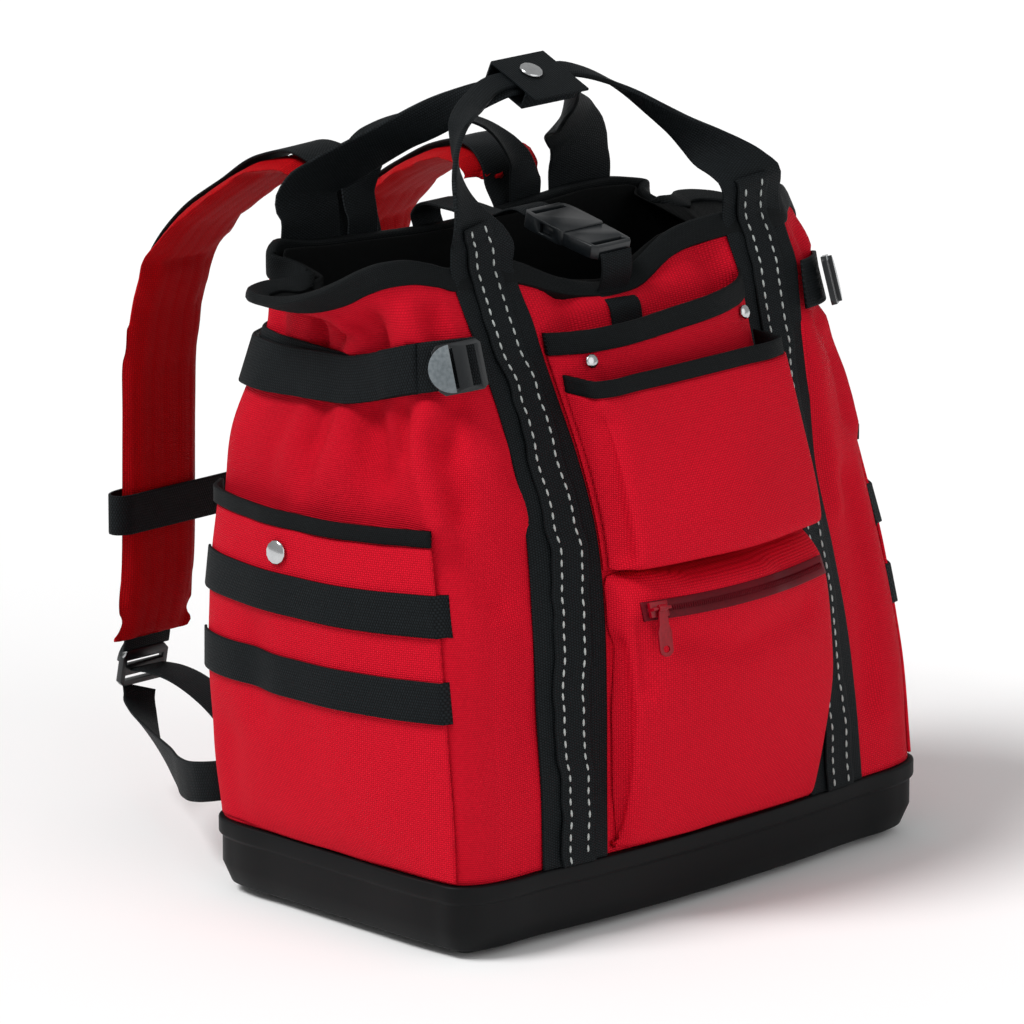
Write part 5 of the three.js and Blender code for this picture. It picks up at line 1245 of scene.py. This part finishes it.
def filled(node, name):
    piece = mesh_object(name + "_start", merged_copy(node))
    remesh = piece.modifiers.new("voxels", "REMESH")
    remesh.mode = "VOXEL"
    remesh.voxel_size = PAD_VOXEL
    piece = evaluated_copy(piece, name + "_voxels")
    points, normals = read_points(piece), read_normals(piece)
    write_points(piece, points - normals * 2.2 * MM)
    cloth = piece.modifiers.new("filling", "CLOTH")
    cloth.settings.quality = 5
    cloth.settings.mass = 0.3
    cloth.settings.use_pressure = True
    cloth.settings.uniform_pressure_force = 2
    cloth.settings.effector_weights.gravity = 0
    cloth.collision_settings.use_collision = False
    cloth.point_cache.frame_start = 1
    cloth.point_cache.frame_end = 20
    for step in range(1, 21):
        bpy.context.scene.frame_set(step)
    before = read_points(piece)
    piece = evaluated_copy(piece, name + "_filled")
    moved = read_points(piece) - before
    far = np.linalg.norm(moved, axis=1)[:, None]
    write_points(piece, before + moved * np.minimum(1, PAD_CAP / np.maximum(far, 1e-9)))
    bpy.context.scene.frame_set(1)
    calm = piece.modifiers.new("calm", "SMOOTH")
    calm.factor = 0.5
    calm.iterations = 3
    soft = piece.modifiers.new("cover", "SUBSURF")
    soft.levels = soft.render_levels = 1
    return evaluated_copy(piece, name)


def pad_frame(node):
    rings = loft_rings(node)
    middle = rings.mean(axis=1)
    spread = rings - middle[:, None]
    across = []
    for ring in spread:
        axis = np.linalg.svd(ring)[2][0]
        if across and axis @ across[-1] < 0:
            axis = -axis
        across.append(axis)
    across = np.array(across)
    half = abs((spread * across[:, None]).sum(axis=2)).max(axis=1)
    along = np.concatenate([[0], np.cumsum(np.linalg.norm(np.diff(middle, axis=0), axis=1))])
    return middle, across, half, along


def pad_places(points, frame_of_pad):
    middle, across, half, along = frame_of_pad
    best = np.full(len(points), 1e9)
    place = np.zeros((len(points), 3))
    for k in range(len(middle) - 1):
        leg = middle[k + 1] - middle[k]
        t = np.clip(((points - middle[k]) @ leg) / (leg @ leg), 0, 1)
        foot = middle[k] + leg * t[:, None]
        axis = across[k] * (1 - t[:, None]) + across[k + 1] * t[:, None]
        off = points - foot
        wide = (off * axis).sum(axis=1)
        far = np.linalg.norm(off - axis * wide[:, None], axis=1) + 0.02 * abs(wide)
        better = far < best
        best[better] = far[better]
        half_here = half[k] * (1 - t) + half[k + 1] * t
        place[better] = np.stack([wide, along[k] + t * np.linalg.norm(leg), wide / half_here], axis=1)[better]
    return place


print("pads are remeshed at", PAD_VOXEL / MM, "mm")

# %% [markdown]
# The channels are five straight lines of stitching down each pad. A point near a line is drawn in towards
# the filling's middle, most at the line itself, and the channels fade out near the pad's ends.

# %% Shoulder pads: channels and seams
for side in ("left", "right"):
    node = f"shoulder_pad_{side}"
    pad = filled(node, f"pad_{side}")
    shape = pad_frame(node)
    points, normals = read_points(pad), read_normals(pad)
    place = pad_places(points, shape)
    ends = np.clip(np.minimum(place[:, 1], shape[3][-1] - place[:, 1]) / (14 * MM), 0, 1)
    drop = np.zeros(len(points))
    for share in CHANNELS:
        away = (place[:, 2] - share) * shape[2].mean()
        drop += 0.5 * MM * np.exp(-(away / (1.7 * MM)) ** 2) * ends
    covers = trees_of([bpy.data.objects[f"pad_strap_{side}"]])
    points = pressed_under(points - normals * drop[:, None], normals, covers, reach=5 * MM)
    write_points(pad, points)
    layer = pad.data.uv_layers.new(name="thread")
    loops = np.empty(len(pad.data.loops), np.int32)
    pad.data.loops.foreach_get("vertex_index", loops)
    layer.data.foreach_set("uv", place[loops][:, :2].astype(np.float32).ravel())
    for face in pad.data.polygons:
        face.use_smooth = True
    # The pad cover's darker red is partly a darker cloth and partly painted shade.
    dress(pad, PAD_CANVAS_DARK_AND_SHADED, [node])
    print("pad", side, len(pad.data.polygons), "faces")
